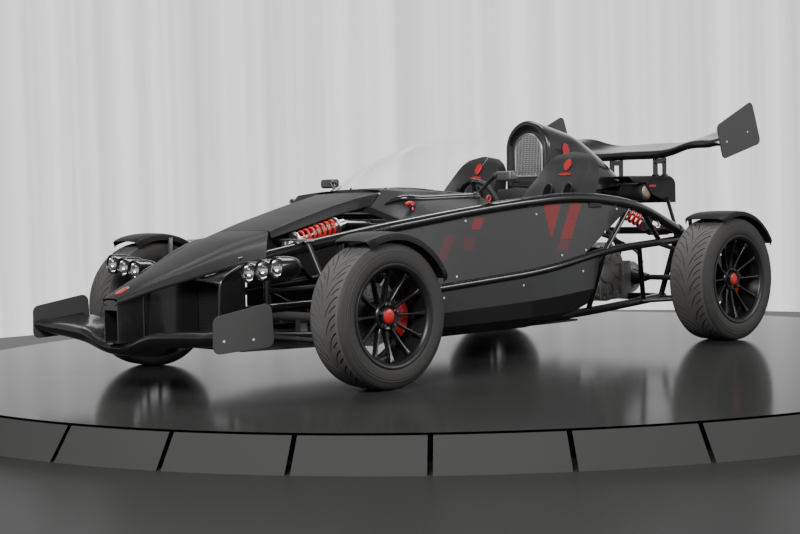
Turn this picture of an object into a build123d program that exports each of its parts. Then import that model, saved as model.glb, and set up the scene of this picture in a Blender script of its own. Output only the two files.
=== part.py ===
from build123d import *
from math import cos, radians, sin, tan
import os

# Driving dimensions, millimetres. X forward from the front axle, Y left, Z up.
WHEELBASE = 2345
FRONT_OVERHANG = 720
REAR_OVERHANG = 567.4
FRONT_TRACK = 1575
REAR_TRACK = 1560
RX = -WHEELBASE
SHIFT_X = (REAR_OVERHANG + WHEELBASE - FRONT_OVERHANG) / 2

# Wheels and tyres: outer radius, section width, bead radius, rim width.
FRONT_TYRE = (288, 195, 190.5, 178)
REAR_TYRE = (304.5, 225, 203.2, 203)
SPOKES = 12
SPINDLE_R = 18
RUN_GAP = 0.3

# Frame tubes.
RAIL_D = 50
MID_D = 38
LOW_D = 40
BRACE_D = 26
BRACE_IN_D = 22
BRACE_IN = 18
FLOOR_TOP = 144.7
FLOOR_T = 8

# Front suspension and steering.
KING_Y = FRONT_TRACK / 2 - 115.5
LOWER_EYE_Z = 168
UPPER_EYE_Z = 412
EYE_T = 24
PIN_R = 9
POST_X = 150
ARM_X = -110
RACK_Z = 250
RACK_R = 9
ROD_EYE_Y = KING_Y - 17

# Cabin.
SEAT_Y = 280
SCREEN_T = 4
SKIN = 6

UPPER_RAIL = [(260, 240, 500), (-250, 450, 608), (-900, 560, 697),
              (RX + 865, 572, 737), (RX + 385, 552, 690), (RX - 85, 478, 538)]
MID_RAIL = [(260, 250, 304), (-350, 505, 335), (-1250, 575, 398),
            (RX + 655, 565, 472), (RX - 85, 470, 500)]
LOW_RAIL = [(260, 240, 200), (-300, 440, 165), (RX + 845, 470, 165), (RX - 85, 360, 200)]


def bent_path(points, share=0.45):
    """Straight runs joined by tangent arcs as large as the runs allow."""
    corners = [Vector(*p) for p in points]
    edges = []
    start = corners[0]
    for before, corner, after in zip(corners, corners[1:], corners[2:]):
        u = (before - corner).normalized()
        v = (after - corner).normalized()
        reach = share * min((before - corner).length, (after - corner).length)
        half = radians(u.get_angle(v) / 2)
        middle = corner + (u + v).normalized() * (reach / cos(half) - reach * tan(half))
        edges.append(Line(start, corner + u * reach))
        edges.append(ThreePointArc(corner + u * reach, middle, corner + v * reach))
        start = corner + v * reach
    edges.append(Line(start, corners[-1]))
    return Wire([e.edge() for e in edges])


def tube(path, diameter):
    return sweep(Plane(origin=path @ 0, z_dir=path % 0) * Circle(diameter / 2), path)


def rod(a, b, diameter):
    a = Vector(*a)
    b = Vector(*b)
    return extrude(Plane(origin=a, z_dir=b - a) * Circle(diameter / 2), (b - a).length)


def at_x(path, x):
    """Point of a rearward-running path at the given X."""
    low, high = 0.0, 1.0
    for _ in range(40):
        mid = (low + high) / 2
        if (path @ mid).X > x:
            low = mid
        else:
            high = mid
    return path @ low


def prism_xz(points, y_low, y_high):
    """Outline in side view, extruded across the car."""
    face = make_face(Polyline([(x, y_low, z) for x, z in points], close=True))
    return extrude(face, y_high - y_low, dir=(0, 1, 0))


def prism_xy(points, z_low, z_high):
    face = make_face(Polyline([(x, y, z_low) for x, y in points], close=True))
    return extrude(face, z_high - z_low, dir=(0, 0, 1))


def both(shape):
    return Compound(list(shape.solids()) + list(mirror(shape, about=Plane.XZ).solids()))


def ring_section(x, points):
    return make_face(Polyline([(x, y, z) for y, z in points], close=True))


upper_path = bent_path(UPPER_RAIL)
mid_path = bent_path(MID_RAIL)
low_path = bent_path(LOW_RAIL)


def side_frame():
    frame = tube(upper_path, RAIL_D) + tube(mid_path, MID_D) + tube(low_path, LOW_D)
    for x in (POST_X, -POST_X, RX - 55):
        frame += rod(at_x(low_path, x), at_x(upper_path, x), BRACE_D + 4)
    node = at_x(mid_path, RX + 650)
    braces = [
        (node, at_x(upper_path, RX + 430)),
        (node, at_x(low_path, RX + 810)),
        (node, at_x(low_path, RX + 640)),
        (at_x(upper_path, RX + 330), at_x(mid_path, RX + 120)),
        (at_x(mid_path, RX + 330), at_x(low_path, RX + 120)),
    ]
    inner_braces = [
        (at_x(upper_path, -420), at_x(mid_path, -760)),
        (at_x(mid_path, -1180), at_x(upper_path, -820)),
        (at_x(mid_path, -1180), at_x(upper_path, -1520)),
        (at_x(mid_path, -420), at_x(low_path, -760)),
        (at_x(mid_path, -1180), at_x(low_path, -800)),
    ]
    for a, b in braces:
        frame += rod(a, b, BRACE_D)
    inset = Vector(0, -BRACE_IN, 0)
    for a, b in inner_braces:
        frame += rod(a + inset, b + inset, BRACE_IN_D)
    return frame


def cross_tube(path, x, diameter):
    p = at_x(path, x)
    return rod(p, (p.X, -p.Y, p.Z), diameter)


def hoop_tube(diameter):
    """Central roll hoop, standing on its cross tube."""
    foot = at_x(upper_path, HOOP_X).Z
    return tube(bent_path([(HOOP_X, HOOP_HALF, foot), (HOOP_X, HOOP_HALF, HOOP_TOP),
                           (HOOP_X, -HOOP_HALF, HOOP_TOP), (HOOP_X, -HOOP_HALF, foot)], 0.42), diameter)


def crossmembers(frames):
    pieces = [
        cross_tube(upper_path, 235, BRACE_D + 4),
        cross_tube(low_path, 235, BRACE_D + 4),
        cross_tube(upper_path, -470, MID_D),
        cross_tube(low_path, -POST_X, BRACE_D),
        cross_tube(low_path, RX + 800, MID_D),
        cross_tube(mid_path, RX + 640, MID_D),
        cross_tube(upper_path, RX - 55, MID_D),
        cross_tube(low_path, RX - 55, MID_D),
    ]
    beam = cross_tube(upper_path, HOOP_X, MID_D)
    pieces.append(beam + hoop_tube(HOOP_D))
    cut = []
    for piece in pieces:
        rest = piece - frames
        cut += [max(rest.solids(), key=lambda s: s.volume)]
    return Compound(cut)


HOOP_X = RX + 515
HOOP_HALF = 112
HOOP_TOP = 1072
HOOP_D = 36


def floor_pan():
    half = [(255, 235), (-300, 440), (RX + 845, 470), (RX + 740, 460)]
    outline = half + [(x, -y) for x, y in reversed(half)]
    return prism_xy(outline, FLOOR_TOP - FLOOR_T, FLOOR_TOP)


def side_panel(frame):
    """Tinted sheet stretched between the upper and the middle rail."""
    rows = []
    for i in range(9):
        x = PANEL_FRONT + (RX + 420 - PANEL_FRONT) * i / 8
        top = at_x(upper_path, x)
        low = at_x(mid_path, x)
        rows.append(ring_section(x, [(top.Y - 1, top.Z), (top.Y + PANEL_T, top.Z),
                                     (low.Y + PANEL_T, low.Z), (low.Y - 1, low.Z)]))
    sheet = loft(rows, ruled=True)
    rear_top = at_x(upper_path, RX + 425)
    rear_low = at_x(mid_path, RX + 850)
    keep = prism_xz([(PANEL_FRONT + 10, 200), (PANEL_FRONT + 10, 900), (rear_top.X, 900),
                     (rear_top.X, rear_top.Z), (rear_low.X, rear_low.Z), (rear_low.X, 200)], 300, 800)
    return keep_main((sheet & keep) - frame)


PANEL_FRONT = -330
PANEL_T = 5


def lower_panel(frame):
    """Tub side hung from the middle rail, tucked in under the lower one."""
    rows = []
    bottom = FLOOR_TOP - FLOOR_T
    for i in range(9):
        x = PANEL_FRONT + (RX + 690 - PANEL_FRONT) * i / 8
        top = at_x(mid_path, x)
        foot = at_x(low_path, x).Y + LOW_D / 2 + 3
        drop = top.Z - bottom
        line = [(top.Y, top.Z), (top.Y + 2, top.Z - 0.5 * drop), (top.Y - 16, top.Z - 0.8 * drop), (foot, bottom)]
        rows.append(ring_section(x, line + [(y + PANEL_T + 1, z) for y, z in reversed(line)]))
    sheet = loft(rows, ruled=True)
    keep = prism_xz([(PANEL_FRONT, 460), (PANEL_FRONT, 100), (-1150, 100), (-1190, bottom), (-1340, 156), (-1560, 226),
                     (RX + 715, 370), (RX + 690, 480), (PANEL_FRONT - 700, 480)], 300, 800)
    return keep_main((sheet & keep) - frame)


def nose_cone():
    """Wedge shell with a keel, an open mouth each side and a duct behind it."""
    def outer(grow, drop=0):
        rows = []
        for x, top, crease, edge, low in NOSE_ROWS:
            rows.append(ring_section(x, [(-edge[0] + grow, low - drop), (edge[0] - grow, low - drop),
                                         (edge[0] - grow, edge[1]), (crease[0] - grow, crease[1] - grow),
                                         (0, top - grow), (-crease[0] + grow, crease[1] - grow),
                                         (-edge[0] + grow, edge[1])]))
        return rows
    shell = loft(outer(0), ruled=True)
    inner = loft(outer(SKIN, 60), ruled=True)
    shell = shell - (inner & Pos(FRONT_OVERHANG / 2 - 8, 0, 400) * Box(FRONT_OVERHANG, 900, 900))
    floor = prism_xy([(FRONT_OVERHANG, 50), (FRONT_OVERHANG, -50), (640, -50), (MOUTH_X, -MOUTH_Y),
                      (DUCT_REAR, -MOUTH_Y), (DUCT_REAR, MOUTH_Y), (MOUTH_X, MOUTH_Y), (640, 50)],
                     NOSE_LOW, NOSE_LOW + SKIN)
    keel = Pos(0, 50 - SKIN / 2, 0) * prism_xz([(FRONT_OVERHANG, NOSE_LOW), (FRONT_OVERHANG, 360),
                                                (600, 408), (560, 400), (590, NOSE_LOW)], -SKIN / 2, SKIN / 2)
    duct = prism_xz([(MOUTH_X, NOSE_LOW), (MOUTH_X - 12, 420), (MOUTH_X - 40, 452),
                     (DUCT_REAR, 500), (DUCT_REAR, NOSE_LOW)], MOUTH_Y - SKIN, MOUTH_Y)
    half = keel + duct
    body = shell + floor + half + mirror(half, about=Plane.XZ)
    for x in (POST_X, 235):
        body -= both(rod(at_x(low_path, x), at_x(upper_path, x), BRACE_D + 14))
    body -= cross_tube(upper_path, 235, BRACE_D + 14)
    rail = tube(upper_path, RAIL_D + 8)
    return keep_main(body - rail - mirror(rail, about=Plane.XZ))


NOSE_LOW = 200
MOUTH_X = 415
MOUTH_Y = 305
DUCT_REAR = 278
NOSE_ROWS = [
    (FRONT_OVERHANG, 376, (50, 372), (52, 364), 352),
    (460, 500, (134, 492), (146, 448), 436),
    (118, 626, (248, 616), (284, 524), 512),
]


def radiator():
    core = Pos(330, 0, NOSE_LOW + SKIN + 115) * Box(44, 470, 230)
    return core


def at_wheel(shape, x, track, radius):
    return Pos(x, track / 2, radius) * shape


def profile(points):
    """Closed face in the plane of the wheel axis from (y, r) points."""
    return make_face(Polyline([(0, y, r) for y, r in points], close=True))


def tyre(size):
    """Hollow carcass open at the beads, about the Y axis."""
    radius, width, bead, rim = size
    half = width / 2
    foot = rim / 2 - RUN_GAP
    seat = bead + RUN_GAP
    bulge = bead + 0.45 * (radius - bead)

    def p(y, r):
        return (0, y, r)
    edges = []
    for s in (1, -1):
        edges += [
            Line(p(s * foot, seat), p(s * foot, bead + 16.5)),
            ThreePointArc(p(s * foot, bead + 16.5), p(s * half, bulge), p(s * (half - 7), radius - 24)),
            ThreePointArc(p(s * (half - 7), radius - 24), p(s * (half - 13), radius - 8),
                          p(s * (half - 30), radius)),
            Line(p(s * foot, seat), p(s * (foot - 14), seat)),
            ThreePointArc(p(s * (foot - 14), seat), p(s * (half - 11), bulge),
                          p(s * (half - 22), radius - 26)),
            Line(p(s * (half - 22), radius - 26), p(s * (half - 40), radius - 15)),
        ]
    edges.append(Line(p(half - 30, radius), p(30 - half, radius)))
    edges.append(Line(p(half - 40, radius - 15), p(40 - half, radius - 15)))
    return revolve(make_face([e.edge() for e in edges]), Axis.Y)


def wheel(size, disc_r):
    """Multi-spoke rim with hub, brake disc and blind spindle bore; outboard is +Y."""
    radius, width, bead, rim = size
    half = rim / 2
    barrel = revolve(profile([
        (half + 7, bead - 9), (half + 7, bead + 15), (half, bead + 15), (half, bead),
        (half - 32, bead), (half - 48, bead - 14), (48 - half, bead - 14), (32 - half, bead),
        (-half, bead), (-half, bead + 15), (-half - 7, bead + 15), (-half - 7, bead - 9),
        (28 - half, bead - 9), (44 - half, bead - 22), (half - 52, bead - 22), (half - 36, bead - 9)]),
        Axis.Y)
    hub = revolve(profile([
        (DISC_Y - DISC_T / 2, SPINDLE_R + RUN_GAP), (DISC_Y - DISC_T / 2, disc_r),
        (DISC_Y + DISC_T / 2, disc_r), (DISC_Y + DISC_T / 2, 40), (half - 74, 40),
        (half - 74, HUB_R), (half - 34, HUB_R), (half - 30, HUB_R - 6), (half - 30, 30),
        (half - 20, 28), (half - 20, 0), (half - 50, 0), (half - 50, SPINDLE_R + RUN_GAP)]), Axis.Y)
    inner = Plane(origin=(0, half - 52, HUB_R - 8), z_dir=(0, 0, 1)) * Rectangle(26, 32)
    outer = Plane(origin=(0, half - 14, bead - 4), z_dir=(0, 0, 1)) * Rectangle(17, 24)
    spoke = loft([inner, outer], ruled=True)
    body = barrel + hub
    for i in range(SPOKES):
        body += Rot(0, 360 / SPOKES * (i + 0.5), 0) * spoke
    return body


DISC_Y = -40
DISC_T = 22
HUB_R = 58


def caliper(disc_r, centre, spread):
    """Saddle over the disc, about the wheel axis; centre is degrees from the top."""
    low = disc_r - 48
    high = disc_r + 24
    face = profile([(DISC_Y - 34, low), (DISC_Y - 34, high), (DISC_Y + 38, high), (DISC_Y + 38, low),
                    (DISC_Y + DISC_T / 2 + 3, low), (DISC_Y + DISC_T / 2 + 3, disc_r + 4),
                    (DISC_Y - DISC_T / 2 - 3, disc_r + 4), (DISC_Y - DISC_T / 2 - 3, low)])
    return Rot(0, centre - spread / 2, 0) * revolve(face, Axis.Y, spread)


def fender(size, front, rear):
    """Cycle wing: arched sheet with turned-down lips, about the wheel axis."""
    radius, width, bead, rim = size
    half = width / 2 + 11
    top = radius + FENDER_GAP
    outer = [(half, FENDER_LIP), (half, 14), (half - 4, 8), (half - 18, 4), (0.5 * half, 1), (0, 0)]
    inner = [(half - 4, FENDER_LIP), (half - 4, 15), (half - 7, 11), (half - 20, 8), (0.5 * half, 5), (0, 4)]
    across = outer + [(-y, d) for y, d in reversed(outer[:-1])]
    back = [(-y, d) for y, d in inner] + list(reversed(inner[:-1]))
    face = profile([(y, top - d) for y, d in across + back])
    return Rot(0, -rear, 0) * revolve(face, Axis.Y, front + rear)


FENDER_GAP = 32
FENDER_LIP = 22


def fender_stay(size, track, x, angle, foot):
    """Flat bar from the upright to the inner lip of the cycle wing."""
    radius, width, bead, rim = size
    lip_y = track / 2 - width / 2 - 11
    tip_r = radius + FENDER_GAP - 10
    tip = Vector(x - tip_r * sin(radians(angle)), 0, radius + tip_r * cos(radians(angle)))
    base = Vector(x + foot[0], 0, radius + foot[1])
    side = (tip - base).cross(Vector(0, 1, 0)).normalized() * 9
    corners = [base + side, base - side, tip - side, tip + side]
    return prism_xz([(c.X, c.Z) for c in corners], lip_y - 12, lip_y)


def front_knuckle():
    radius, width, bead, rim = FRONT_TYRE
    low = LOWER_EYE_Z + EYE_T / 2 + 3
    high = UPPER_EYE_Z - EYE_T / 2 - 3
    y_in, y_out = KING_Y - 20, KING_Y + 18
    body = prism_xz([(-24, low), (24, low), (46, radius - 40), (46, radius + 40), (20, high),
                     (-20, high), (-46, radius + 40), (-46, radius - 40)], y_in, y_out)
    tip = FRONT_TRACK / 2 + rim / 2 - 52
    body += rod((0, y_out - 5, radius), (0, tip, radius), 2 * SPINDLE_R)
    body += rod((0, y_out - 5, radius), (0, FRONT_TRACK / 2 + DISC_Y - DISC_T / 2 - 3, radius), 88)
    body += rod((0, KING_Y, LOWER_EYE_Z - EYE_T / 2 - 4), (0, KING_Y, low + 4), 2 * PIN_R)
    body += rod((0, KING_Y, high - 4), (0, KING_Y, UPPER_EYE_Z + EYE_T / 2 + 4), 2 * PIN_R)
    body += prism_xy([(-34, y_in), (-34, y_out), (ARM_X + 6, ROD_EYE_Y + 17), (ARM_X - 16, ROD_EYE_Y + 8),
                      (ARM_X - 16, ROD_EYE_Y - 12), (ARM_X + 8, ROD_EYE_Y - 15)], RACK_Z - 28, RACK_Z - 12)
    body += at_wheel(caliper(DISC_R, -100, 56), 0, FRONT_TRACK, radius)
    body += Pos(-66, FRONT_TRACK / 2 + DISC_Y - 37, radius - 14) * Box(70, 40, 46)
    for angle, foot in ((8, (-36, 30)), (48, (-36, 10))):
        body += fender_stay(FRONT_TYRE, FRONT_TRACK, 0, angle, foot)
    return body


DISC_R = 122


def rear_upright():
    radius, width, bead, rim = REAR_TYRE
    y_in, y_out = UPRIGHT_Y - 20, UPRIGHT_Y + 16
    body = prism_xz([(RX - 30, 180), (RX + 30, 180), (RX + 48, radius - 40), (RX + 48, radius + 40),
                     (RX + 26, 440), (RX - 26, 440), (RX - 48, radius + 40), (RX - 48, radius - 40)],
                    y_in, y_out)
    body += rod((RX, y_out - 5, radius), (RX, REAR_TRACK / 2 + rim / 2 - 52, radius), 2 * SPINDLE_R)
    body += rod((RX, y_out - 5, radius), (RX, REAR_TRACK / 2 + DISC_Y - DISC_T / 2 - 3, radius), 88)
    body += at_wheel(caliper(DISC_R, -100, 50), RX, REAR_TRACK, radius)
    body += Pos(RX - 66, REAR_TRACK / 2 + DISC_Y - 44, radius - 14) * Box(70, 54, 46)
    for angle, foot in ((-14, (36, 30)), (40, (-36, 20))):
        body += fender_stay(REAR_TYRE, REAR_TRACK, RX, angle, foot)
    return body


UPRIGHT_Y = REAR_TRACK / 2 - 128


def post_point(x, z):
    a = at_x(low_path, x)
    b = at_x(upper_path, x)
    return a + (b - a) * ((z - a.Z) / (b.Z - a.Z))


def keep_main(shape):
    return max(shape.solids(), key=lambda s: s.volume)


def front_wishbones(frame):
    pieces = []
    for z, inner in ((LOWER_EYE_Z, [at_x(low_path, POST_X), at_x(low_path, -POST_X)]),
                     (UPPER_EYE_Z, [post_point(POST_X, 378), post_point(-POST_X, 384)])):
        eye = (0, KING_Y, z)
        arm = Pos(*eye) * Cylinder(21, EYE_T)
        for p in inner:
            arm += rod(eye, p, ARM_D)
        arm = arm - frame - Pos(*eye) * Cylinder(PIN_R + RUN_GAP, 3 * EYE_T)
        arm = keep_main(arm)
        if z == LOWER_EYE_Z:
            seat = Vector(4, KING_Y - 62, LOWER_EYE_Z + 10)
            arm = Pos(0, KING_Y - 66, LOWER_EYE_Z) * Box(74, 44, 16) + arm
            arm += rod(seat, PUSH_TOP, 20) + Pos(*PUSH_TOP) * Sphere(11)
        pieces.append(keep_main(arm))
    return pieces


ARM_D = 22
PUSH_TOP = (25, 404, 566)


def rear_wishbones(frame, upright):
    pieces = []
    y_in = UPRIGHT_Y - 20
    for z, path in ((205, low_path), (415, mid_path)):
        eye = (RX, y_in - 4, z)
        arm = Pos(RX, y_in - 8, z) * Box(40, 26, 34)
        for x in (RX + 160, RX - 40):
            arm += rod(eye, at_x(path, x), ARM_D)
        pieces.append(keep_main(arm - frame - upright))
    return pieces


FRONT_DAMPER = ((20, 250, 566), (-320, 250, 650))
REAR_DAMPER = ((RX + 180, 235, 700), (RX + 145, 500, 566))


def along(a, b, distance):
    a = Vector(*a)
    b = Vector(*b)
    return a + (b - a).normalized() * distance


def front_damper(frame, crosses):
    a, b = FRONT_DAMPER
    length = (Vector(*b) - Vector(*a)).length
    body = rod(a, along(a, b, length), 16) + rod(along(a, b, 150), along(a, b, length - 20), 40)
    body += rod(along(a, b, 48), along(a, b, 58), 66) + rod(along(a, b, 282), along(a, b, 292), 66)
    body += rod((a[0], a[1], a[2] - 14), (a[0], a[1], ROCKER_Z + ROCKER_T), 26)
    body += prism_xy([(a[0] - 18, a[1] - 16), (a[0] + 18, a[1] - 16), (PUSH_TOP[0] + 18, PUSH_TOP[1] + 14),
                      (PUSH_TOP[0] - 18, PUSH_TOP[1] + 14)], ROCKER_Z, ROCKER_Z + ROCKER_T)
    pivot = at_x(upper_path, a[0] + 2)
    body += rod(pivot, (pivot.X, pivot.Y, ROCKER_Z + 4), 28)
    end = at_x(upper_path, -470)
    body += rod(along(a, b, length - 8), (end.X, b[1], end.Z), 18)
    return keep_main(body - frame - crosses)


ROCKER_Z = 580
ROCKER_T = 9


def rear_damper(frame):
    a, b = REAR_DAMPER
    length = (Vector(*b) - Vector(*a)).length
    body = rod(a, b, 16) + rod(along(a, b, 20), along(a, b, 130), 40)
    body += rod(along(a, b, 32), along(a, b, 42), 66) + rod(along(a, b, 236), along(a, b, 246), 66)
    rail = at_x(upper_path, b[0] - 30)
    body += Pos(*b) * Sphere(14) + rod(b, rail, 22)
    return keep_main(body - frame)


def spring(a, b, start, end, turns):
    """Close-wound look of a coil: ridged sleeve on the damper axis."""
    pitch = (end - start) / turns
    edges = []
    base = 25
    for i in range(turns):
        z = start + pitch * i
        edges.append(ThreePointArc((base, 0, z), (base + 8, 0, z + pitch / 2), (base, 0, z + pitch)))
    edges.append(Line((base, 0, end), (20 + RUN_GAP, 0, end)))
    edges.append(Line((20 + RUN_GAP, 0, end), (20 + RUN_GAP, 0, start)))
    edges.append(Line((20 + RUN_GAP, 0, start), (base, 0, start)))
    coil = revolve(make_face([e.edge() for e in edges]), Axis.Z)
    return Plane(origin=Vector(*a), z_dir=Vector(*b) - Vector(*a)) * coil


def rack_housing():
    shell = rod((ARM_X, -RACK_HALF, RACK_Z), (ARM_X, RACK_HALF, RACK_Z), 44)
    for y in (-180, 180):
        shell += Pos(ARM_X, y, (RACK_Z + FLOOR_TOP) / 2) * Box(40, 30, RACK_Z - FLOOR_TOP)
    return shell - rod((ARM_X, -RACK_HALF - 1, RACK_Z), (ARM_X, RACK_HALF + 1, RACK_Z), 2 * (RACK_R + RUN_GAP))


RACK_HALF = 270


def rack_rods():
    bar = rod((ARM_X, -ROD_EYE_Y, RACK_Z), (ARM_X, ROD_EYE_Y, RACK_Z), 2 * RACK_R)
    for s in (1, -1):
        bar += Pos(ARM_X, s * ROD_EYE_Y, RACK_Z) * Cylinder(17, 22)
    return bar


def scuttle():
    """Front hatch, its shoulders on the rails and a rolled edge at each side of the cockpit."""
    rows = []
    for x, top, crease in ((112, 624, (248, 614)), (-330, 728, (335, 716)), (-560, 796, (372, 774)),
                           (-700, 800, (386, 773)), (-935, 786, (428, 752))):
        rail = at_x(upper_path, x)
        share = min(1, max(0, (-x - 250) / 310))
        edge_y = crease[0] + 16 + share * (rail.Y - 17 - crease[0] - 16)
        edge_z = crease[1] - 34 + share * (rail.Z + 17.5 - crease[1] + 34)
        top_line = [(-edge_y, edge_z), (-crease[0], crease[1]), (0, top), (crease[0], crease[1]), (edge_y, edge_z)]
        under = [(edge_y - 8, edge_z - 1), (crease[0] - 4, crease[1] - SKIN), (0, top - SKIN),
                 (4 - crease[0], crease[1] - SKIN), (8 - edge_y, edge_z - 1)]
        rows.append(ring_section(x, top_line + under))
    shell = loft(rows, ruled=True)
    hole = extrude(Pos(-1290, 0, 500) * RectangleRounded(1000, 804, 90), 600)
    shell -= hole
    front_end, rear_end = COAMING
    roll = rod(front_end, rear_end, COAMING_D)
    for end in COAMING:
        roll += Pos(*end) * Sphere(COAMING_D / 2)
    seat_line = tube(upper_path, RAIL_D + 2 * RUN_GAP)
    shell += roll + mirror(roll, about=Plane.XZ)
    return keep_main(shell - seat_line - mirror(seat_line, about=Plane.XZ))


COAMING = ((-449, 385, 735), (-915, 462, 746))
COAMING_D = 34


def windscreen(body):
    base = ThreePointArc((-880, 400, 740), (-560, 0, 780), (-880, -400, 740))
    top = ThreePointArc((-1262, 290, 1008), (-1190, 0, 1020), (-1262, -290, 1008))
    sheet = thicken(Face.make_surface_from_curves(base.edge(), top.edge()), SCREEN_T)
    return keep_main(sheet - body)


def dashboard(frames):
    beam = prism_xz([(-690, 680), (-790, 686), (-830, 650), (-800, 596), (-700, 590)], -518, 518)
    beam += Pos(-800, SEAT_Y, 690) * Box(80, 180, 50)
    column = rod(WHEEL_AT, along(WHEEL_AT, COLUMN_END, 600), 2 * (COLUMN_R + RUN_GAP))
    return keep_main(beam - frames - column)


COLUMN_R = 13
WHEEL_AT = (-1120, SEAT_Y, 700)
COLUMN_END = (-690, SEAT_Y, 600)


def steering_wheel():
    axis = Vector(*COLUMN_END) - Vector(*WHEEL_AT)
    place = Plane(origin=Vector(*WHEEL_AT), z_dir=axis, x_dir=(0, 1, 0))
    rim = Torus(122, 13)
    hub = Pos(0, 0, 8) * Cylinder(42, 30)
    for turn in (0, 90, 180):
        hub += Rot(0, 0, turn) * Pos(78, 0, 4) * Box(90, 26, 8)
    return place * (rim + hub) + rod(WHEEL_AT, COLUMN_END, 2 * COLUMN_R)


def seat():
    """Bucket seat: thin shell across its width, deeper bolsters and a thick headrest."""
    back = [(-1838, 960), (-1818, 830), (-1690, 640), (-1471, 240), (-1400, 170), (-1000, 260)]
    shell = [(-1000, 300), (-1380, 215), (-1425, 262), (-1735, 900), (-1758, 960)]
    bolster = [(-1000, 372), (-1310, 300), (-1372, 330), (-1640, 800), (-1758, 960)]
    body = prism_xz(shell + back, SEAT_Y - 190, SEAT_Y + 190)
    for s in (1, -1):
        y = SEAT_Y + s * 158
        body += prism_xz(bolster + back, y - 30, y + 30)
    rise = [(186, 700), (165, 790), (138, 863), (108, 912), (72, 940), (0, 955)]
    crown = [(-900, SEAT_Y + y, z) for y, z in rise] + [(-900, SEAT_Y - y, z) for y, z in reversed(rise[:-1])]
    sides = [(-900, SEAT_Y + y, z) for y, z in ((-186, 700), (-188, 560), (-180, 320), (-150, 140), (150, 140),
                                                (180, 320), (188, 560), (186, 700))]
    face = make_face([Spline(crown).edge()] + list(Polyline(sides).edges()))
    body = body & extrude(face, 1000, dir=(-1, 0, 0))
    for y in (SEAT_Y - 62, SEAT_Y + 62):
        body -= Pos(-1700, y, 752) * Box(300, 58, 52)
        body -= rod((-1850, y, 778), (-1550, y, 778), 58)
    body += Pos(-1230, SEAT_Y, (FLOOR_TOP + 225) / 2) * Box(240, 220, 225 - FLOOR_TOP)
    return body


def seats():
    """Both seats in one moulding, with a low saddle between the headrests."""
    saddle = prism_xz([(-1425, 262), (-1682, 790), (-1716, 790), (-1690, 640), (-1471, 240)], -110, 110)
    body = seat()
    body = body + mirror(body, about=Plane.XZ) + saddle
    return keep_main(body - Pos(-1879, 0, 960) * Box(200, 304, 400))


def engine():
    x0 = RX + 340
    block = Pos(x0, -140, 400) * Box(300, 420, 320)
    block += Pos(x0, -140, 610) * Box(240, 400, 110)
    block += Pos(x0, -140, 676) * Box(170, 360, 30)
    block += Pos(x0, -140, 215) * Box(240, 360, 60)
    case = Pos(x0, 190, 350) * Rot(90, 0, 0) * Cylinder(150, 250)
    case += Pos(x0 - 20, 215, 300) * Box(330, 190, 190)
    case += Pos(RX + 190, 150, 310) * Box(220, 250, 170)
    case += Pos(RX, 100, REAR_TYRE[0]) * Rot(90, 0, 0) * Cylinder(82, 240)
    case += Pos(RX, 0, REAR_TYRE[0]) * Rot(90, 0, 0) * Cylinder(46, 480)
    for i in range(5):
        case += Pos(x0 - 120 + 60 * i, 316, 300) * Box(12, 24, 170)
    plenum = Pos(x0 + 185, -120, 590) * Rot(90, 0, 0) * Cylinder(72, 380)
    plenum += Pos(x0 + 150, -120, 560) * Box(90, 300, 60)
    return block + case + plenum


def driveshaft():
    a = 240
    b = UPRIGHT_Y - 20
    z = REAR_TYRE[0]
    shaft = rod((RX, a, z), (RX, b, z), 28)
    for y0, y1 in ((a, a + 90), (b, b - 90)):
        place = Plane(origin=(RX, y0, z), z_dir=(0, y1 - y0, 0))
        shaft += place * Pos(0, 0, 45) * Cone(42, 17, 90)
    return shaft


def arch_face(x, half, low, high, cut=0):
    """Upright intake section: flat foot, straight sides, round top."""
    pts = [(x, half - cut, low + cut), (x, half - cut, high - half), (x, 0, high - cut),
           (x, cut - half, high - half), (x, cut - half, low + cut)]
    edges = [Line(pts[4], pts[0]), Line(pts[0], pts[1]), ThreePointArc(pts[1], pts[2], pts[3]), Line(pts[3], pts[4])]
    return make_face([e.edge() for e in edges])


SCOOP_ROWS = [(RX + 560, 146, 775, 1128), (RX + 250, 134, 766, 1056), (RX - 100, 72, 786, 868)]


def intake_scoop():
    outer = loft([arch_face(*row) for row in SCOOP_ROWS], ruled=True)
    inner = loft([arch_face(*row, cut=SKIN) for row in SCOOP_ROWS], ruled=True)
    x_front = SCOOP_ROWS[0][0]
    x_rear = SCOOP_ROWS[-1][0] - 50
    keep = Pos((x_front - BEZEL_T + x_rear) / 2, 0, 900) * Box(x_front - BEZEL_T - x_rear, 500, 700)
    shell = outer - (inner & keep)
    mouth = Pos(x_front - 20, 0, 0) * extrude(arch_face(0, *MOUTH), 60, dir=(1, 0, 0))
    return keep_main(shell - mouth - hoop_tube(HOOP_D + 6))


BEZEL_T = 10
MOUTH = (98, 826, 1068)


def intake_mesh():
    x = SCOOP_ROWS[0][0] - 8
    frame_face = extrude(arch_face(x, *MOUTH), MESH_T, dir=(1, 0, 0))
    half, low, high = MOUTH
    bars = None
    for i in range(-4, 5):
        bar = Pos(x + MESH_T / 2, i * MESH_PITCH, (low + high) / 2) * Box(MESH_T, 5, high - low)
        bars = bar if bars is None else bars + bar
    z = low + 16
    while z < high:
        bars += Pos(x + MESH_T / 2, 0, z) * Box(MESH_T, 2 * half, 5)
        z += MESH_PITCH
    rim = frame_face - extrude(arch_face(x, half, low, high, cut=6), MESH_T, dir=(1, 0, 0))
    return (bars & frame_face) + rim


MESH_T = 4
MESH_PITCH = 22


def tail_hood(half, top, front, rear):
    """Hood section drawn back along the car: open below, rounded at both upper edges."""
    low = TAIL_LOW - 60
    face = make_face(Polyline([(front, half, low), (front, half, top), (front, -half, top), (front, -half, low)],
                              close=True))
    upper = [v for v in face.vertices() if v.Z > top - 1]
    return extrude(fillet(upper, TAIL_SOFT), front - rear, dir=(-1, 0, 0))


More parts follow.
